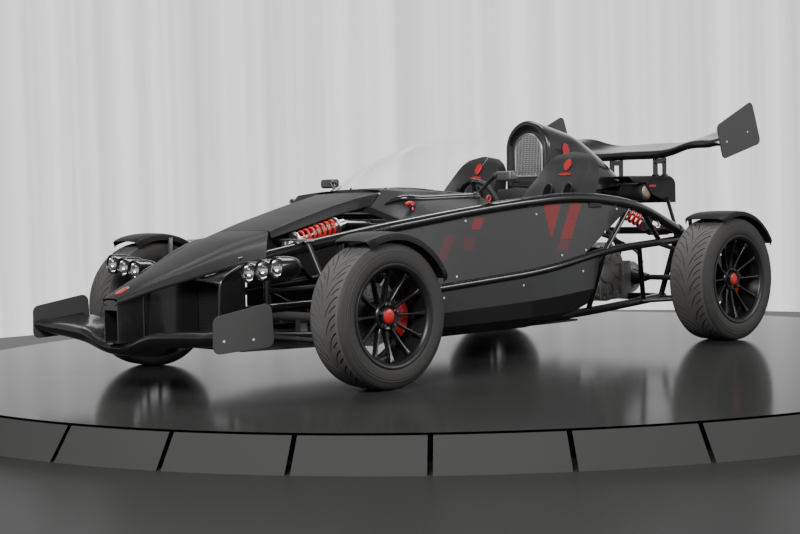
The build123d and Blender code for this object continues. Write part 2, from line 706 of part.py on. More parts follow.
def tail_fairing(frames, crosses):
    """Tail hood with windows in its top, held to the rails by two stays."""
    hood = tail_hood(TAIL_HALF, TAIL_TOP, TAIL_FRONT, TAIL_REAR)
    hood -= tail_hood(TAIL_HALF - SKIN, TAIL_TOP - SKIN, TAIL_FRONT + 10, TAIL_REAR + SKIN)
    hood = hood & prism_xz([(TAIL_FRONT, TAIL_TOP + 5), (TAIL_FRONT, 806), (RX - 150, 800), (RX - 162, 780),
                            (RX - 205, 735), (RX - 330, 699), (TAIL_REAR, TAIL_LOW), (TAIL_REAR, TAIL_TOP + 5)],
                           -TAIL_HALF - 5, TAIL_HALF + 5)
    for y in (-84, 84):
        hood -= extrude(Pos(RX - 205, y, TAIL_TOP - 20) * RectangleRounded(110, 118, 18), 40)
    hood -= rod((TAIL_REAR + 60, 60, PIPE_Z), (TAIL_REAR - 60, 60, PIPE_Z), PIPE_D + 16)
    foot = at_x(upper_path, RX - 50)
    stay = rod((RX - 345, TAIL_HALF - 9, 712), (foot.X, foot.Y - 8, foot.Z), 22)
    stay += Pos(RX - 345, TAIL_HALF - SKIN - 5, 718) * Box(50, 10, 36)
    hood += stay + mirror(stay, about=Plane.XZ)
    rows = [arch_face(x, half + 5, low - 40, high + 5) for x, half, low, high in SCOOP_ROWS]
    return keep_main(hood - loft(rows, ruled=True) - frames - crosses)


TAIL_HALF = 213
TAIL_FRONT = RX - 45
TAIL_REAR = RX - 420
TAIL_LOW = 690
TAIL_SOFT = 52
TAIL_TOP = 838


def foil(y, nose_x, nose_z, chord, thick, rise):
    """Down-force section: flat-topped, deep belly, tail raised by rise degrees."""
    def at(f, g):
        dx = -f * chord * cos(radians(rise)) - g * sin(radians(rise))
        dz = f * chord * sin(radians(rise)) + g * cos(radians(rise))
        return (nose_x + dx, y, nose_z + dz)
    upper = Spline([at(0, 0), at(0.04, 0.22 * thick), at(0.3, 0.22 * thick), at(0.7, 0.1 * thick), at(1, 0.06 * thick)])
    lower = Spline([at(0, 0), at(0.05, -0.38 * thick), at(0.3, -0.78 * thick), at(0.7, -0.42 * thick), at(1, -0.06 * thick)])
    back = Line(at(1, 0.06 * thick), at(1, -0.06 * thick))
    return make_face([upper.edge(), back.edge(), lower.edge()])


def eased(rows, y):
    """Row values at span y, on a smooth curve through the listed rows."""
    full = [(-r[0],) + r[1:] for r in reversed(rows[1:])] + list(rows)
    last = len(full) - 1
    i = max(k for k in range(last) if full[k][0] <= y)
    a, b = full[i], full[i + 1]
    before, after = full[max(i - 1, 0)], full[min(i + 2, last)]
    t = (y - a[0]) / (b[0] - a[0])
    values = []
    for p, q, r, s in zip(before[1:], a[1:], b[1:], after[1:]):
        leave = (r - p) / (b[0] - before[0]) * (b[0] - a[0])
        arrive = (s - q) / (after[0] - a[0]) * (b[0] - a[0])
        values.append(q + t * leave + t * t * (3 * (r - q) - 2 * leave - arrive)
                      + t ** 3 * (2 * (q - r) + leave + arrive))
    return values


def wing(rows, bays=16):
    """Blade lofted through even sections between its tips."""
    tip = rows[-1][0]
    spans = [tip * (2 * k / bays - 1) for k in range(bays + 1)]
    return loft([foil(y, *eased(rows, y)) for y in spans])


FRONT_WING = [(0, 716, 179, 230, 44, 2), (80, 715, 184, 230, 46, -1), (150, 713, 203, 232, 58, -9),
              (220, 710, 224, 236, 66, -9), (330, 706, 234, 240, 62, 2), (480, 700, 241, 243, 58, 5),
              (645, 694, 247, 245, 52, 8)]
REAR_WING = [(0, RX - 215, 950, 300, 48, 13), (260, RX - 215, 953, 300, 48, 13), (430, RX - 205, 986, 300, 44, 15),
             (645, RX - 200, 988, 300, 42, 16)]
PLATE_Y = 645
PLATE_T = 6


def front_wing():
    body = wing(FRONT_WING)
    for y in (-34, 34):
        body += Pos(600, y, NOSE_LOW - 15) * Box(90, 10, 30)
    return body


def endplate(points, soft):
    face = make_face(Polyline([(x, 0, z) for x, z in points], close=True))
    face = fillet(face.vertices(), soft)
    return Pos(0, PLATE_Y, 0) * extrude(face, PLATE_T, dir=(0, 1, 0))


def endplates():
    front = endplate([(694, 324), (424, 365), (414, 197), (698, 186)], 30)
    rear = endplate([(RX - 174, 1078), (RX - 496, 1215), (RX - 577, 993), (RX - 227, 906)], 30)
    return Compound(list(both(front).solids()) + list(both(rear).solids()))


def wing_stands(wing_body, fairing):
    post = prism_xz([(RX - 303, TAIL_TOP), (RX - 303, 962), (RX - 419, 990), (RX - 415, TAIL_TOP)], 145, 153)
    post -= prism_xz([(RX - 338, TAIL_TOP), (RX - 338, 902), (RX - 386, 902), (RX - 386, TAIL_TOP)], 140, 160)
    for x in (RX - 321, RX - 400):
        post += Pos(x, 149, TAIL_TOP + 3) * Box(36, 24, 6)
    return both(keep_main(post - wing_body))


def headlamps():
    pods = None
    lenses = []
    for y, z in LAMPS:
        pod = revolve(make_face(Polyline([(0, 0, 0), (0, LAMP_R, 0), (0, LAMP_R, -60), (0, 30, -104), (0, 12, -122),
                                          (0, 0, -122)], close=True)), Axis.Z)
        pod -= Pos(0, 0, -12) * Cylinder(LAMP_R - 4, 40)
        place = Plane(origin=(LAMP_X, y, z), z_dir=(1, 0, 0))
        pod = place * pod
        pods = pod if pods is None else pods + pod
        lenses.append(place * Pos(0, 0, -10) * Cylinder(LAMP_R - 4 - RUN_GAP, 8))
    first = LAMPS[0]
    last = LAMPS[-1]
    bar = rod((LAMP_X - 62, MOUTH_Y, first[1] - 14), (LAMP_X - 62, last[0], last[1]), 22)
    bar -= Pos(LAMP_X - 62, MOUTH_Y - 50, 470) * Box(100, 100, 100)
    return keep_main(pods + bar), lenses


LAMP_X = 338
LAMP_R = 42
LAMPS = [(402, 468), (490, 479), (578, 490)]


def mirror_arm():
    body = Pos(-960, 598, 832) * Box(44, 104, 46)
    body = fillet(body.edges(), 12)
    body += rod((-950, 572, 838), (-905, 466, 750), 14)
    return body


def exhaust():
    can = rod((RX - 168, -190, PIPE_Z), (RX - 168, 196, PIPE_Z), 96)
    can += rod((RX - 168, 60, PIPE_Z), (RX - 450, 60, PIPE_Z), PIPE_D)
    can -= rod((RX - 320, 60, PIPE_Z), (RX - 451, 60, PIPE_Z), PIPE_D - 8)
    pipe = tube(bent_path([(RX + 210, -40, 560), (RX + 60, -40, 640), (RX - 168, -60, PIPE_Z)]), 56)
    return can + pipe


PIPE_Z = 752
PIPE_D = 70


def tail_lamps():
    lamps = []
    beam = at_x(upper_path, RX - 55)
    for y in (300, 366):
        lamps.append(rod((beam.X, y, beam.Z), (beam.X - 60, y, beam.Z), 54))
    return lamps


def tow_eye(x, z):
    plate = Pos(x, 0, z) * (Cylinder(30, 14) + Pos(30, 0, 0) * Box(60, 36, 14))
    return plate - Pos(x, 0, z) * Cylinder(TOW_R, 40)


TOW_R = 15


def build_all():
    left = side_frame()
    frames = both(left)
    crosses = crossmembers(frames)
    parts = {"side_frames": frames, "crossmembers": crosses}
    parts["floor_pan"] = floor_pan()
    parts["side_panels"] = both(side_panel(left))
    parts["lower_panels"] = both(lower_panel(left))
    parts["nose_cone"] = nose_cone()
    parts["radiator"] = radiator()
    body = scuttle()
    parts["scuttle"] = body
    parts["windscreen"] = windscreen(body)
    parts["dashboard"] = dashboard(frames)
    parts["steering_wheel"] = steering_wheel()
    parts["seats"] = seats()
    parts["engine"] = engine()
    parts["driveshafts"] = both(driveshaft())
    parts["intake_scoop"] = intake_scoop()
    parts["intake_mesh"] = intake_mesh()
    parts["tail_fairing"] = tail_fairing(frames, crosses)
    parts["front_wing"] = front_wing()
    parts["rear_wing"] = wing(REAR_WING)
    parts["wing_endplates"] = endplates()
    parts["rear_wing_stands"] = wing_stands(parts["rear_wing"], parts["tail_fairing"])
    pods, lenses = headlamps()
    parts["headlamp_pods"] = both(pods)
    parts["headlamp_lenses"] = Compound([s for lens in lenses for s in both(lens).solids()])
    parts["mirrors"] = both(keep_main(mirror_arm() - body))
    parts["exhaust"] = keep_main(exhaust() - parts["engine"])
    parts["tail_lamps"] = Compound([s for lamp in tail_lamps() for s in both(keep_main(lamp - crosses)).solids()])
    parts["tow_eyes"] = keep_main(tow_eye(RX - 130, 200) - crosses)
    parts["rack_housing"] = rack_housing()
    parts["rack_rods"] = rack_rods()
    knuckle = front_knuckle()
    parts["knuckle_left"] = knuckle
    parts["knuckle_right"] = mirror(knuckle, about=Plane.XZ)
    upright = rear_upright()
    parts["rear_uprights"] = both(upright)
    arms = front_wishbones(left) + rear_wishbones(left, upright)
    parts["wishbones"] = Compound([s for arm in arms for s in both(arm).solids()])
    shocks = [front_damper(frames, crosses), rear_damper(left)]
    parts["dampers"] = Compound([s for shock in shocks for s in both(shock).solids()])
    coils = [spring(*FRONT_DAMPER, 60, 280, 9), spring(*REAR_DAMPER, 44, 234, 8)]
    parts["springs"] = Compound([s for coil in coils for s in both(coil).solids()])
    arch = at_wheel(fender(FRONT_TYRE, 16, 66), 0, FRONT_TRACK, FRONT_TYRE[0])
    parts["front_fender_left"] = arch
    parts["front_fender_right"] = mirror(arch, about=Plane.XZ)
    parts["rear_fenders"] = both(at_wheel(fender(REAR_TYRE, 26, 60), RX, REAR_TRACK, REAR_TYRE[0]))
    for end, x, track, size in (("front", 0, FRONT_TRACK, FRONT_TYRE), ("rear", RX, REAR_TRACK, REAR_TYRE)):
        rim = at_wheel(wheel(size, DISC_R), x, track, size[0])
        rubber = at_wheel(tyre(size), x, track, size[0])
        parts[f"wheel_{end}_left"] = rim
        parts[f"wheel_{end}_right"] = mirror(rim, about=Plane.XZ)
        parts[f"tyre_{end}_left"] = rubber
        parts[f"tyre_{end}_right"] = mirror(rubber, about=Plane.XZ)
    return parts


os.makedirs("parts", exist_ok=True)
for name, shape in build_all().items():
    export_step(Pos(SHIFT_X, 0, 0) * shape, f"parts/{name}.step")
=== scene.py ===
import math

import bmesh
import bpy
from mathutils import Matrix, Vector


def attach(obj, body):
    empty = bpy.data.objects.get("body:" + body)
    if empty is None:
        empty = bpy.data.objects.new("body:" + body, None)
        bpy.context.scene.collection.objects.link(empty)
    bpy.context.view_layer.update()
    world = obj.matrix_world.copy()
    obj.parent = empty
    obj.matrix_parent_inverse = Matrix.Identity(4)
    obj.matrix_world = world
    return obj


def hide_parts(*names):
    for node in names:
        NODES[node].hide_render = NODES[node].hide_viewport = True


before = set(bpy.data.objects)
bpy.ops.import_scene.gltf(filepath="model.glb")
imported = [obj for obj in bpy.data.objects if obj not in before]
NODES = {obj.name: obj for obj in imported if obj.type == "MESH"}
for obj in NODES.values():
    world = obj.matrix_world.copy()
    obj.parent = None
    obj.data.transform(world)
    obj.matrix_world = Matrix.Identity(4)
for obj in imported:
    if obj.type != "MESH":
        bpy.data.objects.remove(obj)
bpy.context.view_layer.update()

# Forms are drawn in millimetres from the front axle, as the solids are, and moved to the row frame last.
AXLE = 1096.2
REAR = -2345
FRONT_TYRE = (288, 195, 190.5, 178)
REAR_TYRE = (304.5, 225, 203.2, 203)
FRONT_SIDE = 787.5
REAR_SIDE = 780
CORNERS = [("front_left", 0, FRONT_SIDE, FRONT_TYRE), ("front_right", 0, -FRONT_SIDE, FRONT_TYRE),
           ("rear_left", REAR, REAR_SIDE, REAR_TYRE), ("rear_right", REAR, -REAR_SIDE, REAR_TYRE)]
UPPER_RAIL = [(260, 240, 500), (-250, 450, 608), (-900, 560, 697), (REAR + 865, 572, 737),
              (REAR + 385, 552, 690), (REAR - 85, 478, 538)]


# Camera: the photograph's viewing angle, found from the wheels and rails.
def add_camera():
    yaw = math.radians(226.532)
    pitch = math.radians(-2.4651)
    roll = math.radians(-1.5526)
    forward = Vector((math.cos(pitch) * math.cos(yaw), math.cos(pitch) * math.sin(yaw), math.sin(pitch)))
    level = Vector((math.sin(yaw), -math.cos(yaw), 0))
    upright = level.cross(forward)
    right = level * math.cos(roll) + upright * math.sin(roll)
    up = upright * math.cos(roll) - level * math.sin(roll)
    data = bpy.data.cameras.new("camera")
    data.sensor_width = 36
    data.lens = 36 * 1475.64 / 800
    camera = bpy.data.objects.new("camera", data)
    bpy.context.collection.objects.link(camera)
    turn = Matrix((right, up, -forward)).transposed().to_4x4()
    camera.matrix_world = Matrix.Translation((AXLE / 1000 + 3.89958, 5.03028, 0.72401)) @ turn
    bpy.context.scene.camera = camera


def add_light(name, at, aim, size, power):
    data = bpy.data.lights.new(name, "AREA")
    data.shape = "RECTANGLE"
    data.size, data.size_y = size
    data.energy = power
    lamp = bpy.data.objects.new(name, data)
    bpy.context.collection.objects.link(lamp)
    facing = (Vector(aim) - Vector(at)).to_track_quat("-Z", "Y")
    lamp.matrix_world = Matrix.Translation(at) @ facing.to_matrix().to_4x4()


# Shader node groups: effects that several finishes share.
def new_group(name, inputs, outputs):
    tree = bpy.data.node_groups.new(name, "ShaderNodeTree")
    for label, kind, value in inputs:
        socket = tree.interface.new_socket(label, in_out="INPUT", socket_type=kind)
        socket.default_value = value
    for label, kind in outputs:
        tree.interface.new_socket(label, in_out="OUTPUT", socket_type=kind)
    return tree, tree.nodes.new("NodeGroupInput"), tree.nodes.new("NodeGroupOutput")


def math_node(tree, operation, a, b=None, c=None, clamp=False):
    node = tree.nodes.new("ShaderNodeMath")
    node.operation = operation
    node.use_clamp = clamp
    for socket, value in zip(node.inputs, (a, b, c)):
        if value is None:
            continue
        if isinstance(value, (int, float)):
            socket.default_value = value
        else:
            tree.links.new(value, socket)
    return node.outputs[0]


def noise_node(tree, where, scale, detail, rough=0.55):
    node = tree.nodes.new("ShaderNodeTexNoise")
    node.inputs["Detail"].default_value = detail
    node.inputs["Roughness"].default_value = rough
    tree.links.new(where, node.inputs["Vector"])
    if isinstance(scale, (int, float)):
        node.inputs["Scale"].default_value = scale
    else:
        tree.links.new(scale, node.inputs["Scale"])
    return node.outputs["Fac"]


def mix_colour(tree, amount, a, b):
    node = tree.nodes.new("ShaderNodeMix")
    node.data_type = "RGBA"
    tree.links.new(amount, node.inputs["Factor"])
    for socket, value in ((node.inputs[6], a), (node.inputs[7], b)):
        if isinstance(value, tuple):
            socket.default_value = value
        else:
            tree.links.new(value, socket)
    return node.outputs[2]


def weathering_group():
    """Large soft patches and fine specks of dust, heavier on faces that look up."""
    tree, given, out = new_group("weathering", [
        ("Place", "NodeSocketVector", (0, 0, 0)), ("Paint", "NodeSocketColor", (0.5, 0.5, 0.5, 1)),
        ("Dust", "NodeSocketColor", (0.3, 0.28, 0.26, 1)), ("Patch Scale", "NodeSocketFloat", 4.0),
        ("Dust Amount", "NodeSocketFloat", 0.1), ("Gloss", "NodeSocketFloat", 0.3),
        ("Gloss Spread", "NodeSocketFloat", 0.1)],
        [("Color", "NodeSocketColor"), ("Roughness", "NodeSocketFloat")])
    g = given.outputs
    patch = noise_node(tree, g["Place"], g["Patch Scale"], 5)
    fine = noise_node(tree, g["Place"], 160.0, 3)
    facing = tree.nodes.new("ShaderNodeNewGeometry")
    split = tree.nodes.new("ShaderNodeSeparateXYZ")
    tree.links.new(facing.outputs["Normal"], split.inputs[0])
    up = math_node(tree, "MULTIPLY_ADD", split.outputs[2], 0.5, 0.6, True)
    blotch = math_node(tree, "MULTIPLY", patch, fine)
    dusty = math_node(tree, "MULTIPLY", blotch, up)
    amount = math_node(tree, "MULTIPLY", math_node(tree, "MULTIPLY", dusty, 3.0), g["Dust Amount"],
                       clamp=True)
    tree.links.new(mix_colour(tree, amount, g["Paint"], g["Dust"]), out.inputs["Color"])
    shift = math_node(tree, "SUBTRACT", patch, 0.5)
    rough = math_node(tree, "MULTIPLY_ADD", shift, g["Gloss Spread"], g["Gloss"])
    tree.links.new(math_node(tree, "MULTIPLY_ADD", amount, 0.5, rough, True), out.inputs["Roughness"])
    return tree


def grain_group():
    """Fine moulded or cast grain over a slow ripple."""
    tree, given, out = new_group("surface_grain", [
        ("Place", "NodeSocketVector", (0, 0, 0)), ("Grain Scale", "NodeSocketFloat", 900.0),
        ("Ripple", "NodeSocketFloat", 0.3)], [("Height", "NodeSocketFloat")])
    g = given.outputs
    fine = noise_node(tree, g["Place"], g["Grain Scale"], 2)
    slow = noise_node(tree, g["Place"], 26.0, 2)
    mixed = math_node(tree, "MULTIPLY_ADD", slow, g["Ripple"], fine)
    tree.links.new(mixed, out.inputs["Height"])
    return tree


def brushed_group():
    """Fine parallel lines along the piece's own length."""
    tree, given, out = new_group("brushed_lines", [
        ("Place", "NodeSocketVector", (0, 0, 0)), ("Stretch", "NodeSocketVector", (30, 900, 900))],
        [("Height", "NodeSocketFloat")])
    scaled = tree.nodes.new("ShaderNodeVectorMath")
    scaled.operation = "MULTIPLY"
    tree.links.new(given.outputs["Place"], scaled.inputs[0])
    tree.links.new(given.outputs["Stretch"], scaled.inputs[1])
    tree.links.new(noise_node(tree, scaled.outputs[0], 1.0, 3), out.inputs["Height"])
    return tree


def stripe_group():
    """One slanted painted patch in side view, with edges that fade a little."""
    tree, given, out = new_group("slanted_patch", [
        ("Place", "NodeSocketVector", (0, 0, 0)), ("Rear Edge", "NodeSocketFloat", 0.0),
        ("Front Edge", "NodeSocketFloat", 0.1), ("Rear Slant", "NodeSocketFloat", 0.5),
        ("Front Slant", "NodeSocketFloat", 0.5), ("Bottom", "NodeSocketFloat", 0.4),
        ("Top", "NodeSocketFloat", 0.7),
        ("Strength", "NodeSocketFloat", 1.0)], [("Mask", "NodeSocketFloat")])
    g = given.outputs
    split = tree.nodes.new("ShaderNodeSeparateXYZ")
    tree.links.new(g["Place"], split.inputs[0])
    along, height = split.outputs[0], split.outputs[2]
    rise = math_node(tree, "SUBTRACT", height, g["Bottom"])
    rear_line = math_node(tree, "MULTIPLY_ADD", rise, g["Rear Slant"], g["Rear Edge"])
    front_line = math_node(tree, "MULTIPLY_ADD", rise, g["Front Slant"], g["Front Edge"])
    rear = math_node(tree, "SUBTRACT", along, rear_line)
    front = math_node(tree, "SUBTRACT", front_line, along)
    inside = math_node(tree, "MINIMUM", math_node(tree, "MINIMUM", rear, front),
                       math_node(tree, "MINIMUM", rise, math_node(tree, "SUBTRACT", g["Top"], height)))
    edge = math_node(tree, "MULTIPLY", inside, 500.0, clamp=True)
    worn = noise_node(tree, g["Place"], 38.0, 6)
    kept = math_node(tree, "MULTIPLY_ADD", worn, 0.9, 0.42, True)
    tree.links.new(math_node(tree, "MULTIPLY", math_node(tree, "MULTIPLY", edge, kept), g["Strength"]),
                   out.inputs["Mask"])
    return tree


WEATHER = weathering_group()
GRAIN = grain_group()
BRUSHED = brushed_group()
STRIPE = stripe_group()


def place_group(tree, group, where, **values):
    node = tree.nodes.new("ShaderNodeGroup")
    node.node_tree = group
    tree.links.new(where, node.inputs["Place"])
    for label, value in values.items():
        node.inputs[label.replace("_", " ")].default_value = value
    return node


DULL = (0.07, 0.067, 0.064, 1)
PALE = (0.2, 0.19, 0.18, 1)


def finish(name, paint, gloss, spread=0.12, dust=0.1, metal=0.0, coat=0.0, grain=900.0, bump=0.1, ripple=0.3,
           patch=4.0, brushed=None, dust_tint=DULL, shine=0.5):
    """Principled finish: paint with weathering, and grain or brushed lines as bump."""
    material = bpy.data.materials.new(name)
    material.use_nodes = True
    tree = material.node_tree
    shader = tree.nodes["Principled BSDF"]
    where = tree.nodes.new("ShaderNodeTexCoord").outputs["Object"]
    skin = place_group(tree, WEATHER, where, Paint=(*paint, 1), Dust=dust_tint, Patch_Scale=patch,
                       Dust_Amount=dust, Gloss=gloss, Gloss_Spread=spread)
    tree.links.new(skin.outputs["Color"], shader.inputs["Base Color"])
    tree.links.new(skin.outputs["Roughness"], shader.inputs["Roughness"])
    shader.inputs["Metallic"].default_value = metal
    shader.inputs["Specular IOR Level"].default_value = shine
    shader.inputs["Coat Weight"].default_value = coat
    shader.inputs["Coat Roughness"].default_value = 0.06
    if brushed:
        texture = place_group(tree, BRUSHED, where, Stretch=brushed)
    else:
        texture = place_group(tree, GRAIN, where, Grain_Scale=grain, Ripple=ripple)
    relief = tree.nodes.new("ShaderNodeBump")
    relief.inputs["Strength"].default_value = bump
    relief.inputs["Distance"].default_value = 0.001
    tree.links.new(texture.outputs["Height"], relief.inputs["Height"])
    tree.links.new(relief.outputs["Normal"], shader.inputs["Normal"])
    return material


def clear_finish(name, tint, gloss, index, dust):
    """Clear sheet or lens with a faint smear of dust."""
    material = bpy.data.materials.new(name)
    material.use_nodes = True
    tree = material.node_tree
    shader = tree.nodes["Principled BSDF"]
    where = tree.nodes.new("ShaderNodeTexCoord").outputs["Object"]
    smear = place_group(tree, WEATHER, where, Paint=(*tint, 1), Dust=(0.75, 0.74, 0.72, 1), Patch_Scale=3.0,
                        Dust_Amount=dust, Gloss=gloss, Gloss_Spread=0.01)
    tree.links.new(smear.outputs["Color"], shader.inputs["Base Color"])
    tree.links.new(smear.outputs["Roughness"], shader.inputs["Roughness"])
    shader.inputs["Transmission Weight"].default_value = 1
    shader.inputs["IOR"].default_value = index
    return material


def striped_panel():
    """Smoke-dark side panel with worn slanted red patches."""
    material = finish("smoke_panel", (0.034, 0.033, 0.0335), 0.24, 0.08, 0.06, 0, 0.3, 700, 0.03,
                      dust_tint=(0.09, 0.085, 0.08, 1))
    tree = material.node_tree
    shader = tree.nodes["Principled BSDF"]
    where = [n for n in tree.nodes if n.type == "TEX_COORD"][0].outputs["Object"]
    below = shader.inputs["Base Color"].links[0].from_socket
    # Rear and front edges at the bottom, slants, bottom and top in metres, then how much paint is left.
    patches = [(-0.198, -0.196, -0.466, 0.33, 0.544, 0.70, 0.9),
               (-0.337, -0.255, -0.5, -0.5, 0.537, 0.70, 0.9),
               (-0.314, -0.224, -0.46, -0.6, 0.483, 0.533, 0.3),
               (0.252, 0.305, -0.4, -0.34, 0.60, 0.652, 0.85),
               (0.455, 0.504, -0.63, -0.47, 0.467, 0.582, 0.22),
               (0.297, 0.356, -0.25, -0.13, 0.507, 0.57, 0.2)]
    total = None
    for rear, front, rear_slant, front_slant, low, high, strength in patches:
        patch = place_group(tree, STRIPE, where, Rear_Edge=rear, Front_Edge=front, Rear_Slant=rear_slant,
                            Front_Slant=front_slant, Bottom=low, Top=high, Strength=strength).outputs["Mask"]
        total = patch if total is None else math_node(tree, "MAXIMUM", total, patch)
    painted = mix_colour(tree, total, below, (0.24, 0.012, 0.015, 1))
    tree.links.new(painted, shader.inputs["Base Color"])
    return material


PAINT = {
    "frame_black": finish("frame_black", (0.006, 0.006, 0.0065), 0.2, 0.1, 0.08, 0, 0.45, 500, 0.04),
    "body_grey": finish("satin_grey", (0.018, 0.0176, 0.0176), 0.4, 0.08, 0.06, 0.0, 0.0, 1600, 0.06, 0.1,
                        2.5, shine=0.14),
    "body_black": finish("gloss_black", (0.008, 0.008, 0.0085), 0.2, 0.08, 0.08, 0, 0.4, 600, 0.04),
    "satin_black": finish("satin_black", (0.011, 0.011, 0.0115), 0.38, 0.1, 0.08, 0, 0.0, 1400, 0.1),
    "matte_black": finish("matte_black", (0.008, 0.008, 0.008), 0.6, 0.1, 0.06, 0, 0.0, 1200, 0.25),
    "wing_black": finish("wing_black", (0.01, 0.0098, 0.0098), 0.42, 0.08, 0.06, 0, 0.0, 1400, 0.08,
                         shine=0.12),
    "plate_grey": finish("plate_grey", (0.05, 0.049, 0.048), 0.5, 0.08, 0.08, 0, 0.0, 1400, 0.08, shine=0.3),
    # Near-black painted shade for the harness slot openings.
    "painted_slot_shade": finish("painted_slot_shade", (0.002, 0.002, 0.002), 0.8, 0.1, 0.0, 0, 0.0, 1200, 0.1, shine=0.1),
    "panel": striped_panel(),
    "seat": finish("seat_shell", (0.013, 0.0127, 0.0127), 0.46, 0.1, 0.08, 0, 0.0, 2200, 0.2, 0.1,
                   shine=0.35),
    "trim_red": finish("trim_red", (0.42, 0.01, 0.008), 0.34, 0.1, 0.04, 0, 0.25, 900, 0.05),
    "spring_red": finish("spring_red", (0.5, 0.012, 0.009), 0.3, 0.1, 0.06, 0, 0.35, 900, 0.06),
    "red_lens": finish("red_lens", (0.35, 0.006, 0.008), 0.12, 0.04, 0.02, 0, 0.8, 300, 0.03),
    "wheel_black": finish("wheel_black", (0.005, 0.005, 0.0055), 0.24, 0.1, 0.05, 0, 0.12, 500, 0.04,
                          shine=0.35),
    "rim_lip": finish("rim_lip", (0.011, 0.0105, 0.0105), 0.36, 0.1, 0.1, 0.2, 0.0, 900, 0.08),
    "disc_steel": finish("disc_steel", (0.24, 0.235, 0.23), 0.4, 0.15, 0.2, 1, 0.0, 900, 0.12),
    "cast_alloy": finish("cast_alloy", (0.42, 0.41, 0.395), 0.44, 0.2, 0.4, 1, 0.0, 420, 0.5, 0.8, 9.0,
                         dust_tint=(0.07, 0.063, 0.056, 1)),
    "bright_steel": finish("bright_steel", (0.6, 0.59, 0.58), 0.28, 0.12, 0.1, 1, 0.0, 900, 0.08,
                           dust_tint=PALE),
    "brushed_steel": finish("brushed_steel", (0.5, 0.5, 0.49), 0.34, 0.12, 0.12, 1, 0.0, 900, 0.12, 0.3,
                            4.0, (40, 900, 900), dust_tint=PALE),
    "dark_steel": finish("dark_steel", (0.05, 0.05, 0.052), 0.38, 0.12, 0.1, 0.7, 0.0, 900, 0.1),
    "mirror_grey": finish("mirror_grey", (0.1, 0.1, 0.102), 0.36, 0.1, 0.1, 0.6, 0.0, 1400, 0.08),
    "display_glass": finish("display_glass", (0.006, 0.006, 0.007), 0.08, 0.03, 0.03, 0, 0.5, 300, 0.01),
    "exhaust_gold": finish("exhaust_gold", (0.4, 0.32, 0.26), 0.36, 0.2, 0.2, 1, 0.0, 700, 0.12, 0.5, 14.0,
                           dust_tint=(0.22, 0.14, 0.1, 1)),
    "mirror": finish("mirror_glass", (0.8, 0.8, 0.8), 0.04, 0.02, 0.04, 1, 0.0, 300, 0.01, dust_tint=PALE),
    "reflector": finish("lamp_reflector", (0.85, 0.85, 0.86), 0.1, 0.04, 0.02, 1, 0.0, 300, 0.02,
                        dust_tint=PALE),
    "rubber": finish("tyre_rubber", (0.02, 0.0192, 0.0186), 0.66, 0.12, 0.3, 0, 0.0, 1500, 0.3, 0.2, 6.0,
                     dust_tint=(0.085, 0.077, 0.07, 1)),
    "tread": finish("tread_rubber", (0.055, 0.0525, 0.05), 0.76, 0.1, 0.4, 0, 0.0, 1300, 0.4, 0.3, 10.0,
                    dust_tint=(0.16, 0.15, 0.14, 1)),
    "leather": finish("grip_leather", (0.012, 0.012, 0.012), 0.55, 0.1, 0.05, 0, 0.0, 700, 0.4),
    "stud_pale": finish("stud_pale", (0.72, 0.71, 0.68), 0.35, 0.1, 0.05, 0.4, 0.0, 900, 0.05,
                        dust_tint=PALE),
    "clear": clear_finish("clear_sheet", (0.985, 0.99, 0.99), 0.01, 1.04, 0.0),
    "lens": clear_finish("lamp_lens", (0.97, 0.97, 0.97), 0.02, 1.4, 0.04),
}


